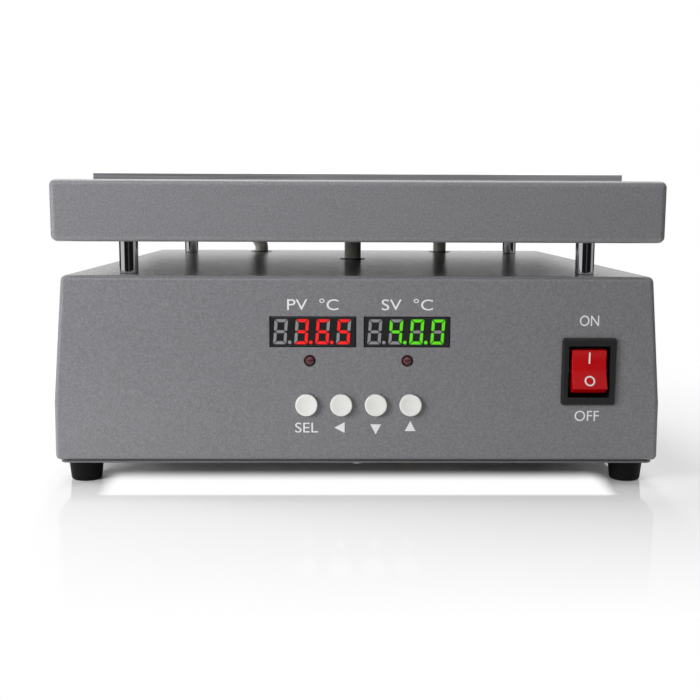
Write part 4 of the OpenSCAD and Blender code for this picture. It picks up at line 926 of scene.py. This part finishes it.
class PLATFORM_OT_housing(bpy.types.Operator):
    """Fold the base's housing with its bowed sides, its flange and all its openings"""
    bl_idname = "platform.housing"
    bl_label = "Base housing"

    # Openings in millimetres: gap round a display, radii of holes, and widths and heights of windows and slots
    DISPLAY_GAP, KEY_HOLE, LAMP_HOLE, SWITCH_WINDOW = 0.6, 5.4, 2.8, (23.1, 27.9)
    INLET_WINDOW, INLET_SCREW_HOLE, AIR_SLOT = (28.9, 30.1), 1.65, (60, 3.5)
    # The column of air slots: its X, and from the inlet's middle its first slot and the pitch of the next
    SLOT_X, SLOT_FIRST, SLOT_PITCH = -50, -15, 9

    def execute(self, context):
        sheet = settings().sheet
        piece = self.bowed_block(sheet)
        sheet_shell(piece, sheet.base_edge, sheet.wall, DOWN, sheet.flange)
        cut(piece, self.front_openings() + self.rear_openings() + self.level_openings())
        finish_sheet(piece, sheet.cut_edge)
        piece = joined("housing_shell", [piece] + self.studs())
        dress(piece, "grey_paint", "base_housing")
        return {"FINISHED"}

    def bowed_block(self, sheet):
        """The base's outer form: its sides bow out to a bend, and lean in above it."""
        knee_z, edge = BASE_Z + sheet.knee_height, sheet.base_edge
        low_half, knee_half, top_half = HOUSING_HIGH.x, sheet.knee_width / 2, sheet.top_width / 2
        # The top width is that below the rounded edge, so the corner above it lies further in
        top_half -= (knee_half - top_half) * edge / (BASE_TOP - edge - knee_z)
        piece = block("housing_shell", (-low_half, PANEL_Y, BASE_Z), (low_half, REAR_Y, BASE_TOP))
        with editing(piece):
            bpy.ops.mesh.select_all(action="SELECT")
            bpy.ops.mesh.bisect(plane_co=(0, 0, knee_z), plane_no=(0, 0, 1))
            for level, half in ((knee_z, knee_half), (BASE_TOP, top_half)):
                pick(piece, "VERT", lambda vertex: abs(vertex.co.z - level) < 1e-5)
                bpy.ops.transform.resize(value=(half / low_half, 1, 1), center_override=(0, 0, 0))
        return piece

    def front_openings(self):
        """Cutters for the displays, the keys, the lamps and the switch."""
        gap = self.DISPLAY_GAP * MM
        width, height = self.SWITCH_WINDOW
        cutters = [window(n, PANEL_Y, size(n).x + gap, size(n).z + gap) for n in DISPLAYS]
        cutters += [hole((centre(n).x, PANEL_Y, centre(n).z), self.KEY_HOLE * MM, BACK) for n in KEYS]
        cutters += [hole((x, PANEL_Y, z), self.LAMP_HOLE * MM, BACK) for x, z in lamp_places()]
        return cutters + [window("switch_body", PANEL_Y, width * MM, height * MM)]

    def rear_openings(self):
        """Cutters for the mains inlet, its screws and six air slots."""
        at, (width, height), (length, high) = centre("inlet_body"), self.INLET_WINDOW, self.AIR_SLOT
        cutters = [window("inlet_body", REAR_Y, width * MM, height * MM)]
        cutters += [hole((at.x + side, REAR_Y, at.z), self.INLET_SCREW_HOLE * MM, BACK)
                    for side in (-SCREW_SPAN * MM, SCREW_SPAN * MM)]
        heights = [at.z + (row * self.SLOT_PITCH + self.SLOT_FIRST) * MM for row in range(6)]
        places = [Vector((self.SLOT_X * MM, REAR_Y, height)) for height in heights]
        return cutters + [slot_cutter(place, length * MM, high * MM, OPENING * MM) for place in places]

    def level_openings(self):
        """Cutters in the base's top and in its flange."""
        cutters = sheet_holes(leads_at_base(), BASE_TOP)
        cutters += [hole((x, y, BASE_Z), radius + FIT * MM, UP) for x, y, radius in self.nut_places()]
        return cutters

    def nut_places(self):
        """Holes in the flange: one at the middle of each side, and one over each foot."""
        middle, inset = (PANEL_Y + REAR_Y) / 2, 11 * MM
        side, end = HOUSING_HIGH.x - inset, (REAR_Y - PANEL_Y) / 2 - inset
        holes = [(-side, middle), (side, middle), (0, middle - end), (0, middle + end)]
        return [(x, y, 1.5 * MM) for x, y in holes] + [(centre(n).x, centre(n).y, 2 * MM) for n in FEET]

    def studs(self):
        """Weld nuts on the flange, and the studs of the control board, each a little sunk in its sheet."""
        pieces = []
        low, high = SHEET - 0.1, SHEET + 3
        for x, y, radius in self.nut_places():
            inner, outer = radius / MM + FIT, radius / MM + 2
            profile = [(inner, low), (outer, low), (outer, high), (inner, high)]
            pieces.append(turned("nut", profile, (x, y, BASE_Z), UP, 32, ring=True))
        for x, z in stud_places():
            start = Vector((x, PANEL_Y + 1.2 * MM, z))
            pieces.append(rod("stud", start, start + BACK * 12.1 * MM, 1.5 * MM, 32))
        for piece in pieces:
            smooth(piece)
        return pieces


def lamp_places():
    """X and Z of the lamps, each a flange's radius from the end of the pair."""
    low, high = BOX["indicator_lamps"]
    return [(x, (low.z + high.z) / 2) for x in (low.x + LAMP_FLANGE * MM, high.x - LAMP_FLANGE * MM)]


def stud_places():
    """X and Z of the studs, from the box round the four hexagon nuts on them."""
    low, high = BOX["board_nuts"]
    half = 1.85 * 3 / 2 * MM         # half a nut's width across its flats
    reach = half / math.cos(math.radians(30))
    return [(x, z) for x in (low.x + reach, high.x - reach) for z in (low.z + half, high.z - half)]


class PLATFORM_OT_tray(bpy.types.Operator):
    """Fold the tray with its rim round the hot plate"""
    bl_idname = "platform.tray"
    bl_label = "Tray"

    def execute(self, context):
        sheet = settings().sheet
        piece = block("tray_shell", TRAY_LOW, TRAY_HIGH)
        opening = size("heating_plate").x / 2 + 0.75 * MM
        sheet_shell(piece, sheet.tray_edge, sheet.wall, UP, size("tray").x / 2 - opening)
        cut(piece, sheet_holes(leads_at_tray(), TRAY_Z))
        finish_sheet(piece, sheet.cut_edge)
        dress(piece, "tray_paint", "tray", slot="grey_paint")
        return {"FINISHED"}


class PLATFORM_OT_hot_plate(bpy.types.Operator):
    """Round the milled plate's edges"""
    bl_idname = "platform.hot_plate"
    bl_label = "Hot plate"

    def execute(self, context):
        middle, upper = centre("heating_plate"), BOX["heating_plate"][1].z - 2 * MM
        corner = size("heating_plate").x / 2 - 0.5 * MM

        def outside(edge):
            at = (edge.verts[0].co + edge.verts[1].co) / 2
            off = at - middle
            return at.z > upper or (abs(off.x) > corner and abs(off.y) > corner)

        piece = softened("heating_plate", "hot_plate", 0.25 * MM, 30, 3, test=outside)
        dress(piece, "plate_aluminium", "heating_plate")
        return {"FINISHED"}


class PLATFORM_OT_underside(bpy.types.Operator):
    """Mould the feet and finish the bottom plate"""
    bl_idname = "platform.underside"
    bl_label = "Bottom plate and feet"

    def execute(self, context):
        self.bottom_plate()
        # A foot's bore, seat, tapered side and hollow, by radius and height in millimetres
        outer = filleted([(8.3, 10.7), (8.3, 9.8), (7.25, 0), (4.3, 0)], 2.2, 8)
        profile = [(2.05, 11), (8.0, 11)] + outer + [(4.3, 5), (2.05, 5)]
        first = turned("foot", profile, (0, 0, 0), UP, 72, ring=True)
        smooth(first, 40)
        repeated(first, FEET, "foot", "rubber_foot", "black_rubber")
        return {"FINISHED"}

    def bottom_plate(self):
        """The bottom plate, with a step along its upper edge that leaves a dark joint."""
        piece = softened("bottom_plate", "floor_plate", 0.3 * MM)
        low, high = BOX["bottom_plate"]
        # The upper part of a frame round the plate is cut away, down to 1 mm above its underside
        frame_block = block("gap", low - Vector((1, 1, 0)) * MM, high + Vector((1, 1, 1)) * MM)
        frame_block.data.transform(Matrix.Translation((0, 0, 1.0 * MM)))
        core = block("core", low + Vector((1.2, 1.2, -2)) * MM, high + Vector((-1.2, -1.2, 4)) * MM)
        round_edges(core, runs(UP, 3 * MM), 3 * MM, 5)
        cut(frame_block, [core])
        cut(piece, [frame_block])
        # The plate's paint is the grey paint darkened as painted shade
        dress(piece, "underside_paint", "bottom_plate", slot="grey_paint")


class PLATFORM_OT_posts(bpy.types.Operator):
    """Turn the polished posts"""
    bl_idname = "platform.posts"
    bl_label = "Posts"

    def execute(self, context):
        height, radius = size(POSTS[0]).z / MM, size(POSTS[0]).x / 2 / MM
        bore = 2.55
        profile = filleted([(bore, 0), (radius, 0), (radius, height), (bore, height)], 0.4, 5)
        first = turned("post", profile, (0, 0, BASE_TOP), UP, 96, ring=True)
        smooth(first, 50)
        repeated(first, POSTS, "post", "polished_post", "polished_steel")
        return {"FINISHED"}


# Leads

def heading(points, i):
    """The direction of a smooth curve at one of its points, from the runs before and after it."""
    last = len(points) - 1
    before = points[max(i, 1)] - points[max(i, 1) - 1]
    after = points[min(i, last - 1) + 1] - points[min(i, last - 1)]
    weighed = before.normalized() * after.length + after.normalized() * before.length
    return weighed / (before.length + after.length)


def curve_points(points, pitch):
    """Points on the smooth curve through a route's points, as the CAD source lays it."""
    points = [Vector(p) * MM for p in points]
    out = []
    for i in range(len(points) - 1):
        run = (points[i + 1] - points[i]).length
        leave, arrive = heading(points, i) * run, heading(points, i + 1) * run
        steps = max(1, math.ceil(run / pitch))
        for step in range(steps):
            f = step / steps
            out.append((2 * f ** 3 - 3 * f ** 2 + 1) * points[i] + (f ** 3 - 2 * f ** 2 + f) * leave
                       + (3 * f ** 2 - 2 * f ** 3) * points[i + 1] + (f ** 3 - f ** 2) * arrive)
    return out + [points[-1]]


def sleeve(name, points, radius, sides=40):
    """A tube along points, with a UV map: once round, and its length in turns of its own girth."""
    mesh = bpy.data.meshes.new(name)
    form = bmesh.new()
    uv = form.loops.layers.uv.new("UVMap")
    side = None
    rings, travel = [], [0.0]
    for i, at in enumerate(points):
        along = (points[min(i + 1, len(points) - 1)] - points[max(i - 1, 0)]).normalized()
        if side is None:
            side = along.orthogonal().normalized()
        side = (side - along * side.dot(along)).normalized()
        other = along.cross(side)
        ring = [form.verts.new(at + radius * (side * math.cos(a) + other * math.sin(a)))
                for a in (2 * math.pi * k / sides for k in range(sides))]
        rings.append(ring)
        if i:
            travel.append(travel[-1] + (at - points[i - 1]).length)
    girth = 2 * math.pi * radius
    for i in range(len(rings) - 1):
        for k in range(sides):
            n = (k + 1) % sides
            face = form.faces.new((rings[i][k], rings[i][n], rings[i + 1][n], rings[i + 1][k]))
            face.smooth = True
            for loop, (a, b) in zip(face.loops, ((k, i), (k + 1, i), (k + 1, i + 1), (k, i + 1))):
                loop[uv].uv = (a / sides, travel[b] / girth)
    form.faces.new(reversed(rings[0]))
    form.faces.new(rings[-1])
    form.to_mesh(mesh)
    form.free()
    piece = bpy.data.objects.new(name, mesh)
    bpy.context.scene.collection.objects.link(piece)
    return piece


def passage(low, lip=1.2, lead_in=3.2):
    """Heights in millimetres above, at both lips of, and below a bush, from its sheet's underside."""
    high = low + SHEET
    return [high + lead_in, high + lip, low - lip, low - lead_in]


class PLATFORM_OT_leads(bpy.types.Operator):
    """Sweep the braided leads from the tray into the base, with their bushes"""
    bl_idname = "platform.leads"
    bl_label = "Leads and bushes"

    def execute(self, context):
        (tray_x, base_x, right_x), lead_y = lead_columns()
        self.heater_lead("left_sleeve", "lead_left", -1, tray_x / MM, base_x / MM, lead_y)
        self.heater_lead("right_sleeve", "lead_right", 1, right_x / MM, right_x / MM, lead_y)
        self.sensor_lead()
        self.bushes()
        return {"FINISHED"}

    def heater_lead(self, name, node, side, top, low, lead_y):
        """A lead from the heater's end, down through the tray and the base, to its ceramic block."""
        y, block_y = lead_y / MM, centre("lead_blocks").y / MM
        block_top, base_low = BOX["lead_blocks"][1].z / MM, BASE_TOP / MM - SHEET
        under = BOX["heating_plate"][0].z / MM
        lug_reach = 4
        start_x = size("heating_plate").x / MM * 3 / 8 - lug_reach
        tray = passage(TRAY_Z / MM)
        turn = under - tray[0]
        short = (1 - math.cos(math.radians(45))) * turn
        route = [(side * start_x, y, under), (top + side * turn, y, under),
                 (top + side * short, y, under - short)]
        route += [(top, y, z) for z in tray] + [(low, y, z) for z in passage(base_low)]
        route.append((low, (y + block_y) / 2, (base_low + block_top) / 2))
        route += [(low, block_y, block_top + rise) for rise in (20, 8, 4, 0)]
        piece = sleeve(name, curve_points(route, 1.2 * MM), HEATER_LEAD * MM)
        dress(piece, "glass_sleeve", node)
        place = Vector((side * (start_x + lug_reach) * MM, lead_y, under * MM))
        profile = [(0, -4), (1.7, -4), (2, -3.7), (2, 3.7), (1.7, 4), (0, 4)]
        lug = turned(name + "_lug", profile, place, RIGHT, 32)
        smooth(lug)
        dress(lug, "zinc_steel")

    def sensor_lead(self):
        """The sleeve straight down from the probe, and the wire from its end to the control board."""
        probe = centre("thermocouple_probe")
        top, low = BOX["thermocouple_probe"][0].z, BASE_TOP - 13.5 * MM
        steps = 24
        points = [Vector((probe.x, probe.y, top + (low - top) * i / steps)) for i in range(steps + 1)]
        piece = sleeve("sensor_sleeve", points, SENSOR_LEAD * MM)
        dress(piece, "sensor_sleeve", slot="glass_sleeve")
        plug_y, plug_z = (PANEL_Y + 17.9 * MM) / MM, centre("display_actual").z / MM - 4
        x, y, z = probe.x / MM, probe.y / MM, low / MM
        route = [(x, y, z), (x, y, z - 3), (x, y, z - 6), (x, (y + plug_y) / 2, plug_z + 2),
                 (x, plug_y + 6, plug_z), (x, plug_y + 3, plug_z), (x, plug_y, plug_z)]
        wire = sleeve("sensor_wire", curve_points(route, 2 * MM), 1.5 * MM, 20)
        dress(wire, "wire_insulation", "lead_sensor", slot="glass_sleeve")

    def bushes(self):
        """The bushes in the base's top and in the tray's floor, which grip the edges of their holes."""
        for group, node, places, low, lip, finish, slot in (
                ("base_bush", "base_grommets", leads_at_base(), BASE_TOP / MM - SHEET, 0.5,
                 "bush_rubber", "black_rubber"),
                ("tray_bush", "tray_grommets", leads_at_tray(), TRAY_Z / MM, 1.2,
                 "ceramic_white", "ceramic_white")):
            rings = [self.bush(group, place, low, lip) for place in places]
            dress(joined(group, rings), finish, node, slot=slot)

    def bush(self, name, place, low, upper_lip, lower_lip=1.2):
        """One bush: its bore, its lip below the sheet, its waist in the hole and its upper lip."""
        x, y, radius = place
        high, bore, waist = low + SHEET, radius / MM + FIT, radius / MM + BUSH - FIT
        rim = radius / MM + BUSH + 1.2
        under, over = low - lower_lip, high + upper_lip
        profile = filleted([(bore, under), (rim, under), (rim, low), (waist, low),
                            (waist, high), (rim, high), (rim, over), (bore, over)], 0.5)
        ring = turned(name, profile, (x, y, 0), UP, 64, ring=True)
        smooth(ring, 50)
        return ring


# Controls

class PLATFORM_OT_displays(bpy.types.Operator):
    """Set the digits into the displays, lit and unlit segments apart"""
    bl_idname = "platform.displays"
    bl_label = "Displays"

    # Segments of each figure: top, upper right, lower right, bottom, lower left, upper left, middle
    FIGURES = {" ": "", "0": "abcdef", "3": "abcdg", "4": "bcfg", "5": "acdfg", "6": "acdefg"}

    def execute(self, context):
        for node, values, finish in (("display_actual", " 3.6.5", "digit_red"),
                                     ("display_set", " 4.0.0", "digit_green")):
            face = softened(node, node.replace("display", "display_block"), 0.12 * MM, 30)
            dress(face, "display_black", node)
            lit, unlit = self.digits(node, values)
            name = node.replace("display", "digits")
            for suffix, pieces, look in (("lit", lit, finish), ("unlit", unlit, "digit_unlit")):
                dress(joined(f"{name}_{suffix}", pieces), look, slot="display_black")
        return {"FINISHED"}

    def digits(self, node, values):
        """The bars and points of a display's four digits, those that are lit and those that aren't."""
        controls, lit, unlit = settings().controls, [], []
        # The row of digits stands a little left of the face's middle, as its points follow the digits
        start = centre(node).x - 1.5 * controls.digit_pitch - 0.35 * MM
        for place, (figure, point) in enumerate(self.split(values)):
            x = start + place * controls.digit_pitch
            for segment, piece in self.segments(controls, x, node, place < 3).items():
                on = point if segment == "point" else segment in self.FIGURES[figure]
                (lit if on else unlit).append(piece)
        return lit, unlit

    def split(self, values):
        """Each figure of a row of figures and points, with whether a point follows it."""
        figures = []
        for letter in values:
            if letter == ".":
                figures[-1] = (figures[-1][0], True)
            else:
                figures.append((letter, False))
        return figures

    def outlines(self, controls):
        """Outlines of the seven bars round a digit's middle, with mitred ends and gaps between them."""
        # Half the width and height of a digit, a bar's thickness, and the gap at each mitre
        w, h, t, g = controls.digit_width / 2, controls.digit_height / 2, controls.segment, 0.3 * MM
        top = [(-w + g, h), (w - g, h), (w - t - g, h - t), (-w + t + g, h - t)]
        middle = [(-w + t / 2 + g, 0), (-w + t + g, t / 2), (w - t - g, t / 2), (w - t / 2 - g, 0),
                  (w - t - g, -t / 2), (-w + t + g, -t / 2)]
        upper = [(w, h - g), (w - t, h - t - g), (w - t, t / 2 + g), (w - t / 2, g), (w, 0.3 * t + g)]

        def flipped(line, x, z):
            return [(x * a, z * b) for a, b in line]

        return {"a": top, "b": upper, "c": flipped(upper, 1, -1), "d": flipped(top, 1, -1),
                "e": flipped(upper, -1, -1), "f": flipped(upper, -1, 1), "g": middle}

    def segments(self, controls, x, node, with_point):
        """The seven bars of one digit, and its point, as thin raised islands."""
        face_y, z, thick = BOX[node][0].y, centre(node).z, 0.06 * MM
        lean = math.tan(controls.slant)
        pieces = {}
        for segment, line in self.outlines(controls).items():
            points = [Vector((x + a + b * lean, face_y, z + b)) for a, b in line]
            bar = outline_prism("bar", points, FRONT, -thick, thick)
            round_edges(bar, runs(BACK, thick), 0.2 * MM, 2)
            pieces[segment] = bar
        if with_point:
            profile = [(0, 0.06), (0.78, 0.06), (0.85, 0), (0.85, -0.06), (0, -0.06)]
            right, low = controls.digit_width / 2 + 1.2 * MM, controls.digit_height / 2 - 0.85 * MM
            pieces["point"] = turned("point", profile, (x + right, face_y, z - low), FRONT, 28)
        return pieces


class PLATFORM_OT_lamps(bpy.types.Operator):
    """Turn the two lamps with their domes"""
    bl_idname = "platform.lamps"
    bl_label = "Lamps"

    def execute(self, context):
        low, high = BOX["indicator_lamps"]
        radius, length = 2.5, (high.y - low.y) / MM
        dome = [(radius * math.cos(a), length - radius + radius * math.sin(a))
                for a in (math.pi / 2 * k / 12 for k in range(13))]
        profile = [(0, 0), (LAMP_FLANGE, 0), (LAMP_FLANGE, 0.8), (radius, 0.8)] + dome[:-1] + [(0, length)]
        lamps = []
        for x, z in lamp_places():
            lamp = turned("lamp", profile, (x, high.y, z), FRONT, 64)
            smooth(lamp)
            lamps.append(lamp)
        dress(joined("lamp_domes", lamps), "lamp_lens", "indicator_lamps")
        return {"FINISHED"}


class PLATFORM_OT_keys(bpy.types.Operator):
    """Turn the key caps with their dished faces"""
    bl_idname = "platform.keys"
    bl_label = "Keys"

    def execute(self, context):
        dish = settings().controls.dish / MM
        for node, body in KEYS.items():
            low, high = BOX[node]
            proud, depth = (PANEL_Y - low.y) / MM, (high.y - PANEL_Y) / MM
            # Radii of the dish, the cap, its collar behind the panel and the socket of its plunger
            rim, cap, collar, socket = 4.35, 5.25, 6.25, 1.65
            bowl = [(rim * k / 6, proud - dish * (1 - (k / 6) ** 2)) for k in range(7)]
            edge = filleted([(rim, proud), (cap, proud), (cap, -1.7), (collar, -1.7), (collar, -depth),
                             (socket, -depth), (socket, 1 - depth)], 0.5)
            place = (centre(node).x, PANEL_Y, centre(node).z)
            piece = turned(node.replace("key", "key_cap"), bowl + edge[1:] + [(0, 1 - depth)], place, FRONT)
            smooth(piece, 40)
            dress(piece, "key_white", node, body=body)
        return {"FINISHED"}


class PLATFORM_OT_switch(bpy.types.Operator):
    """Mould the power switch's bezel and its rocker"""
    bl_idname = "platform.switch"
    bl_label = "Power switch"

    # The rocker's face in millimetres: half its height, and how far its ends and its valley stand out
    HALF, END, VALLEY = 9.1, 6.9, 5.0
    REST_LEAN = -12      # degrees, at on

    def execute(self, context):
        dress(softened("switch_body", "switch_case", 0.22 * MM, 25), "switch_black", "switch_body")
        pivot = Vector(next(j for j in frame["joints"] if j["name"] == "rocker_tip")["pos_m"])
        dress(self.rocker(pivot), "switch_red", "switch_rocker", body="rocker")
        dress(self.pins(pivot), "switch_black", body="rocker")
        for mark in self.marks(pivot):
            dress(mark, "printed_white", slot="", body="rocker")
        return {"FINISHED"}

    def lean(self, pivot):
        """From an upright rocker at the origin, with its face to the front, to its rest at on."""
        return Matrix.Translation(pivot) @ Matrix.Rotation(math.radians(self.REST_LEAN), 4, "X")

    def pins(self, pivot):
        """The stub pins that the rocker turns on."""
        pins = []
        for side in (-RIGHT, RIGHT):
            pin = rod("rocker_pins", pivot + side * 6 * MM, pivot + side * 11.2 * MM, 1.5 * MM, 40)
            round_edges(pin, sharp(60), 0.2 * MM, 2)
            smooth(pin)
            pins.append(pin)
        return joined("rocker_pins", pins)

    def face(self, up):
        """How far the rocker's hollow face stands out from its pivot, in millimetres, at a height."""
        share = min(abs(up) / self.HALF, 1)
        return self.VALLEY + (self.END - self.VALLEY) * share - 0.4 * math.sin(math.pi * share)

    def rocker(self, pivot):
        """The rocker: a side outline of hollow face, noses and back, extruded across its width."""
        nose = self.HALF + 1.6
        face = [(self.face(up), up) for up in (self.HALF * (1 - k / 10) for k in range(21))]
        outline = face + [(1, -nose), (-4, -0.7 * self.HALF), (-4, 0.7 * self.HALF), (1, nose)]
        points = [Vector((0, -out * MM, up * MM)) for out, up in outline]
        half_width = 8.2 * MM
        piece = outline_prism("rocker_cap", points, RIGHT, -half_width, half_width)
        round_edges(piece, sharp(40), 0.5 * MM, 3)
        piece.data.transform(self.lean(pivot))
        smooth(piece, 30)
        return piece

    def marks(self, pivot):
        """The line and the ring, printed on the rocker's hollow face."""
        thick = 0.04
        corner = Vector((0.34, thick, 2.6)) * MM
        line = block("mark_on", -corner, corner)
        round_edges(line, runs(BACK, 0.05 * MM), 0.2 * MM, 3)
        with editing(line):
            for step in range(-4, 5):
                bpy.ops.mesh.select_all(action="SELECT")
                bpy.ops.mesh.bisect(plane_co=(0, 0, step * 0.5 * MM), plane_no=(0, 0, 1))
        profile = [(1.75, -thick), (2.45, -thick), (2.45, thick), (1.75, thick)]
        ring = turned("mark_off", profile, (0, 0, 0), FRONT, 48, ring=True)
        for piece, up in ((line, 5.5), (ring, -5.3)):
            for vertex in piece.data.vertices:
                vertex.co.z += up * MM
                vertex.co.y -= (self.face(vertex.co.z / MM) + 0.03) * MM
            piece.data.transform(self.lean(pivot))
        return line, ring


def lettering(name, words, left, right, low, high):
    """Words printed on the front panel, fitted to a box in millimetres."""
    thick, proud = 0.05 * MM, 0.04 * MM
    deselect()
    bpy.ops.object.text_add(rotation=(math.pi / 2, 0, 0))
    text = bpy.context.object
    text.data.body, text.data.extrude = words, 0.01
    bpy.ops.object.convert(target="MESH")
    piece = take(name)
    corners = [v.co for v in piece.data.vertices]
    low_corner = Vector([min(c[i] for c in corners) for i in range(3)])
    span = Vector([max(c[i] for c in corners) for i in range(3)]) - low_corner
    width, height = (right - left) * MM, (high - low) * MM
    scale = Matrix.Diagonal((width / span.x, thick / span.y, height / span.z, 1))
    place = Vector((left * MM, PANEL_Y - proud, low * MM))
    piece.data.transform(Matrix.Translation(place) @ scale @ Matrix.Translation(-low_corner))
    with editing(piece):
        bpy.ops.mesh.select_all(action="SELECT")
        bpy.ops.mesh.remove_doubles(threshold=1e-7)
    return piece


def arrow(name, x, z, turn):
    """A printed triangle that points up, turned round the panel's normal."""
    deselect()
    bpy.ops.mesh.primitive_cylinder_add(vertices=3, radius=3.1 * MM, depth=0.05 * MM)
    piece = take(name)
    round_edges(piece, runs(UP, 0.03 * MM), 0.15 * MM, 3)
    stand, taller = Matrix.Rotation(math.pi / 2, 4, "X"), Matrix.Diagonal((0.95, 1, 1.05, 1))
    place = Matrix.Translation((x, PANEL_Y - 0.015 * MM, z))
    piece.data.transform(place @ Matrix.Rotation(turn, 4, "Y") @ taller @ stand)
    return piece


class PLATFORM_OT_marks(bpy.types.Operator):
    """Print the words and arrows on the front panel"""
    bl_idname = "platform.marks"
    bl_label = "Printed marks"

    def execute(self, context):
        # In millimetres: the middles of what the words name, and the height of the marks below the keys
        across = [centre(n).x / MM for n in DISPLAYS + ("switch_body", "key_select")]
        left, right, switch, first = across
        key_z = 28.6
        marks = [
            lettering("word_measured", "PV  °C", left - 12, left + 12, 84.6, 90.0),
            lettering("word_set", "SV  °C", right - 12, right + 12, 84.6, 90.0),
            lettering("word_on", "ON", switch - 4.8, switch + 4.25, 77.4, 82.4),
            lettering("word_off", "OFF", switch - 5.8, switch + 5.8, 31.9, 36.9),
            lettering("word_select", "SEL", first - 5.4, first + 5.4, key_z - 2.4, key_z + 2.4),
            arrow("arrow_shift", centre("key_shift").x, key_z * MM, -math.pi / 2),
            arrow("arrow_down", centre("key_down").x, key_z * MM, math.pi),
            arrow("arrow_up", centre("key_up").x, key_z * MM, 0),
        ]
        for piece in marks:
            dress(piece, "printed_white", slot="")
        return {"FINISHED"}


# Back and fasteners

def cross_recess(place, axis, reach, depth):
    """A cutter for a cross recess: two crossed wedges that narrow inwards."""
    bars = []
    for turn in (0, math.pi / 2):
        bar = block("bar", (-reach, -0.16 * reach, -depth), (reach, 0.16 * reach, depth))
        with editing(bar):
            pick(bar, "VERT", lambda vertex: vertex.co.z < 0)
            bpy.ops.transform.resize(value=(0.45, 0.7, 1), center_override=(0, 0, 0))
        bar.data.transform(Matrix.Rotation(turn, 4, "Z"))
        bars.append(bar)
    # The second bar is a hair off the first, so that no faces coincide
    bars[1].data.transform(Matrix.Diagonal((0.999, 1.001, 1.01, 1)))
    modify(bars[0], "BOOLEAN", operation="UNION", solver="EXACT", object=bars[1])
    bpy.data.objects.remove(bars[1])
    facing = UP.rotation_difference(Vector(axis)).to_matrix().to_4x4()
    bars[0].data.transform(Matrix.Translation(Vector(place)) @ facing)
    return bars[0]


class PLATFORM_OT_inlet(bpy.types.Operator):
    """Mould the mains inlet with its fuse drawer and screws"""
    bl_idname = "platform.inlet"
    bl_label = "Mains inlet"

    def execute(self, context):
        for node, name, body, finish, radius, degrees in (
                ("inlet_body", "inlet_case", "platform", "inlet_black", 0.3, 30),
                ("fuse_drawer", "fuse_slide", "drawer", "part_black", 0.2, 40),
                ("inlet_pins", "inlet_blades", "platform", "contact_brass", 0.35, 40)):
            dress(softened(node, name, radius * MM, degrees), finish, node, body=body)
        screws = softened("inlet_screws", "countersunk_screws", 0.08 * MM, segments=1)
        at, face_y = centre("inlet_body"), BOX["inlet_screws"][1].y
        cut(screws, [cross_recess((at.x + side, face_y, at.z), BACK, 1.7 * MM, 1.3 * MM)
                     for side in (-SCREW_SPAN * MM, SCREW_SPAN * MM)])
        dress(screws, "zinc_steel", "inlet_screws")
        return {"FINISHED"}


class PLATFORM_OT_fasteners(bpy.types.Operator):
    """Cut cross recesses into the screws below the base"""
    bl_idname = "platform.fasteners"
    bl_label = "Screws"

    def execute(self, context):
        for node, name in (("bottom_screws", "bottom_pan_screws"), ("foot_screws", "foot_pan_screws")):
            screws = softened(node, name, 0.25 * MM, segments=3)
            cut(screws, [cross_recess(place, DOWN, 1.5 * MM, 1.1 * MM) for place in self.heads(screws)])
            dress(screws, "zinc_steel", node)
        return {"FINISHED"}

    def heads(self, screws):
        """The middles of the heads' lowest faces."""
        low = min(vertex.co.z for vertex in screws.data.vertices)
        cell, rims = 20 * MM, {}
        for vertex in screws.data.vertices:
            if vertex.co.z < low + 0.05 * MM:
                key = round(vertex.co.x / cell), round(vertex.co.y / cell)
                rims.setdefault(key, []).append(vertex.co.copy())
        places = []
        for rim in rims.values():
            at = sum(rim, Vector()) / len(rim)
            if all((at - other).length > 6 * MM for other in places):
                places.append(at)
        return places


class PLATFORM_PT_sidebar(bpy.types.Panel):
    """Sidebar with the settings and the steps"""
    bl_idname = "PLATFORM_PT_sidebar"
    bl_label = "Heating platform"
    bl_space_type = "VIEW_3D"
    bl_region_type = "UI"
    bl_category = "Platform"

    def draw(self, context):
        for group in (settings().stage, settings().sheet, settings().controls):
            column = self.layout.column(align=True)
            for name in group.bl_rna.properties.keys():
                if name not in ("rna_type", "name"):
                    column.prop(group, name)
        column = self.layout.column(align=True)
        for step in STEPS:
            column.operator(step.bl_idname)


STEPS = (
    PLATFORM_OT_stage, PLATFORM_OT_finishes, PLATFORM_OT_housing, PLATFORM_OT_tray,
    PLATFORM_OT_hot_plate, PLATFORM_OT_underside, PLATFORM_OT_posts, PLATFORM_OT_leads,
    PLATFORM_OT_displays, PLATFORM_OT_lamps, PLATFORM_OT_keys, PLATFORM_OT_switch,
    PLATFORM_OT_marks, PLATFORM_OT_inlet, PLATFORM_OT_fasteners,
)
CLASSES = (StageSettings, SheetSettings, ControlSettings, PlatformSettings, *STEPS, PLATFORM_PT_sidebar)


def register():
    for cls in CLASSES:
        bpy.utils.register_class(cls)
    bpy.types.Scene.heating_platform = PointerProperty(type=PlatformSettings, name="Heating platform",
                                                       description="Settings of the heating platform")


def unregister():
    del bpy.types.Scene.heating_platform
    for cls in reversed(CLASSES):
        bpy.utils.unregister_class(cls)


def main():
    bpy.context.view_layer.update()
    register()
    for step in STEPS:
        group, name = step.bl_idname.split(".")
        getattr(getattr(bpy.ops, group), name)()


if __name__ == "__main__":
    main()
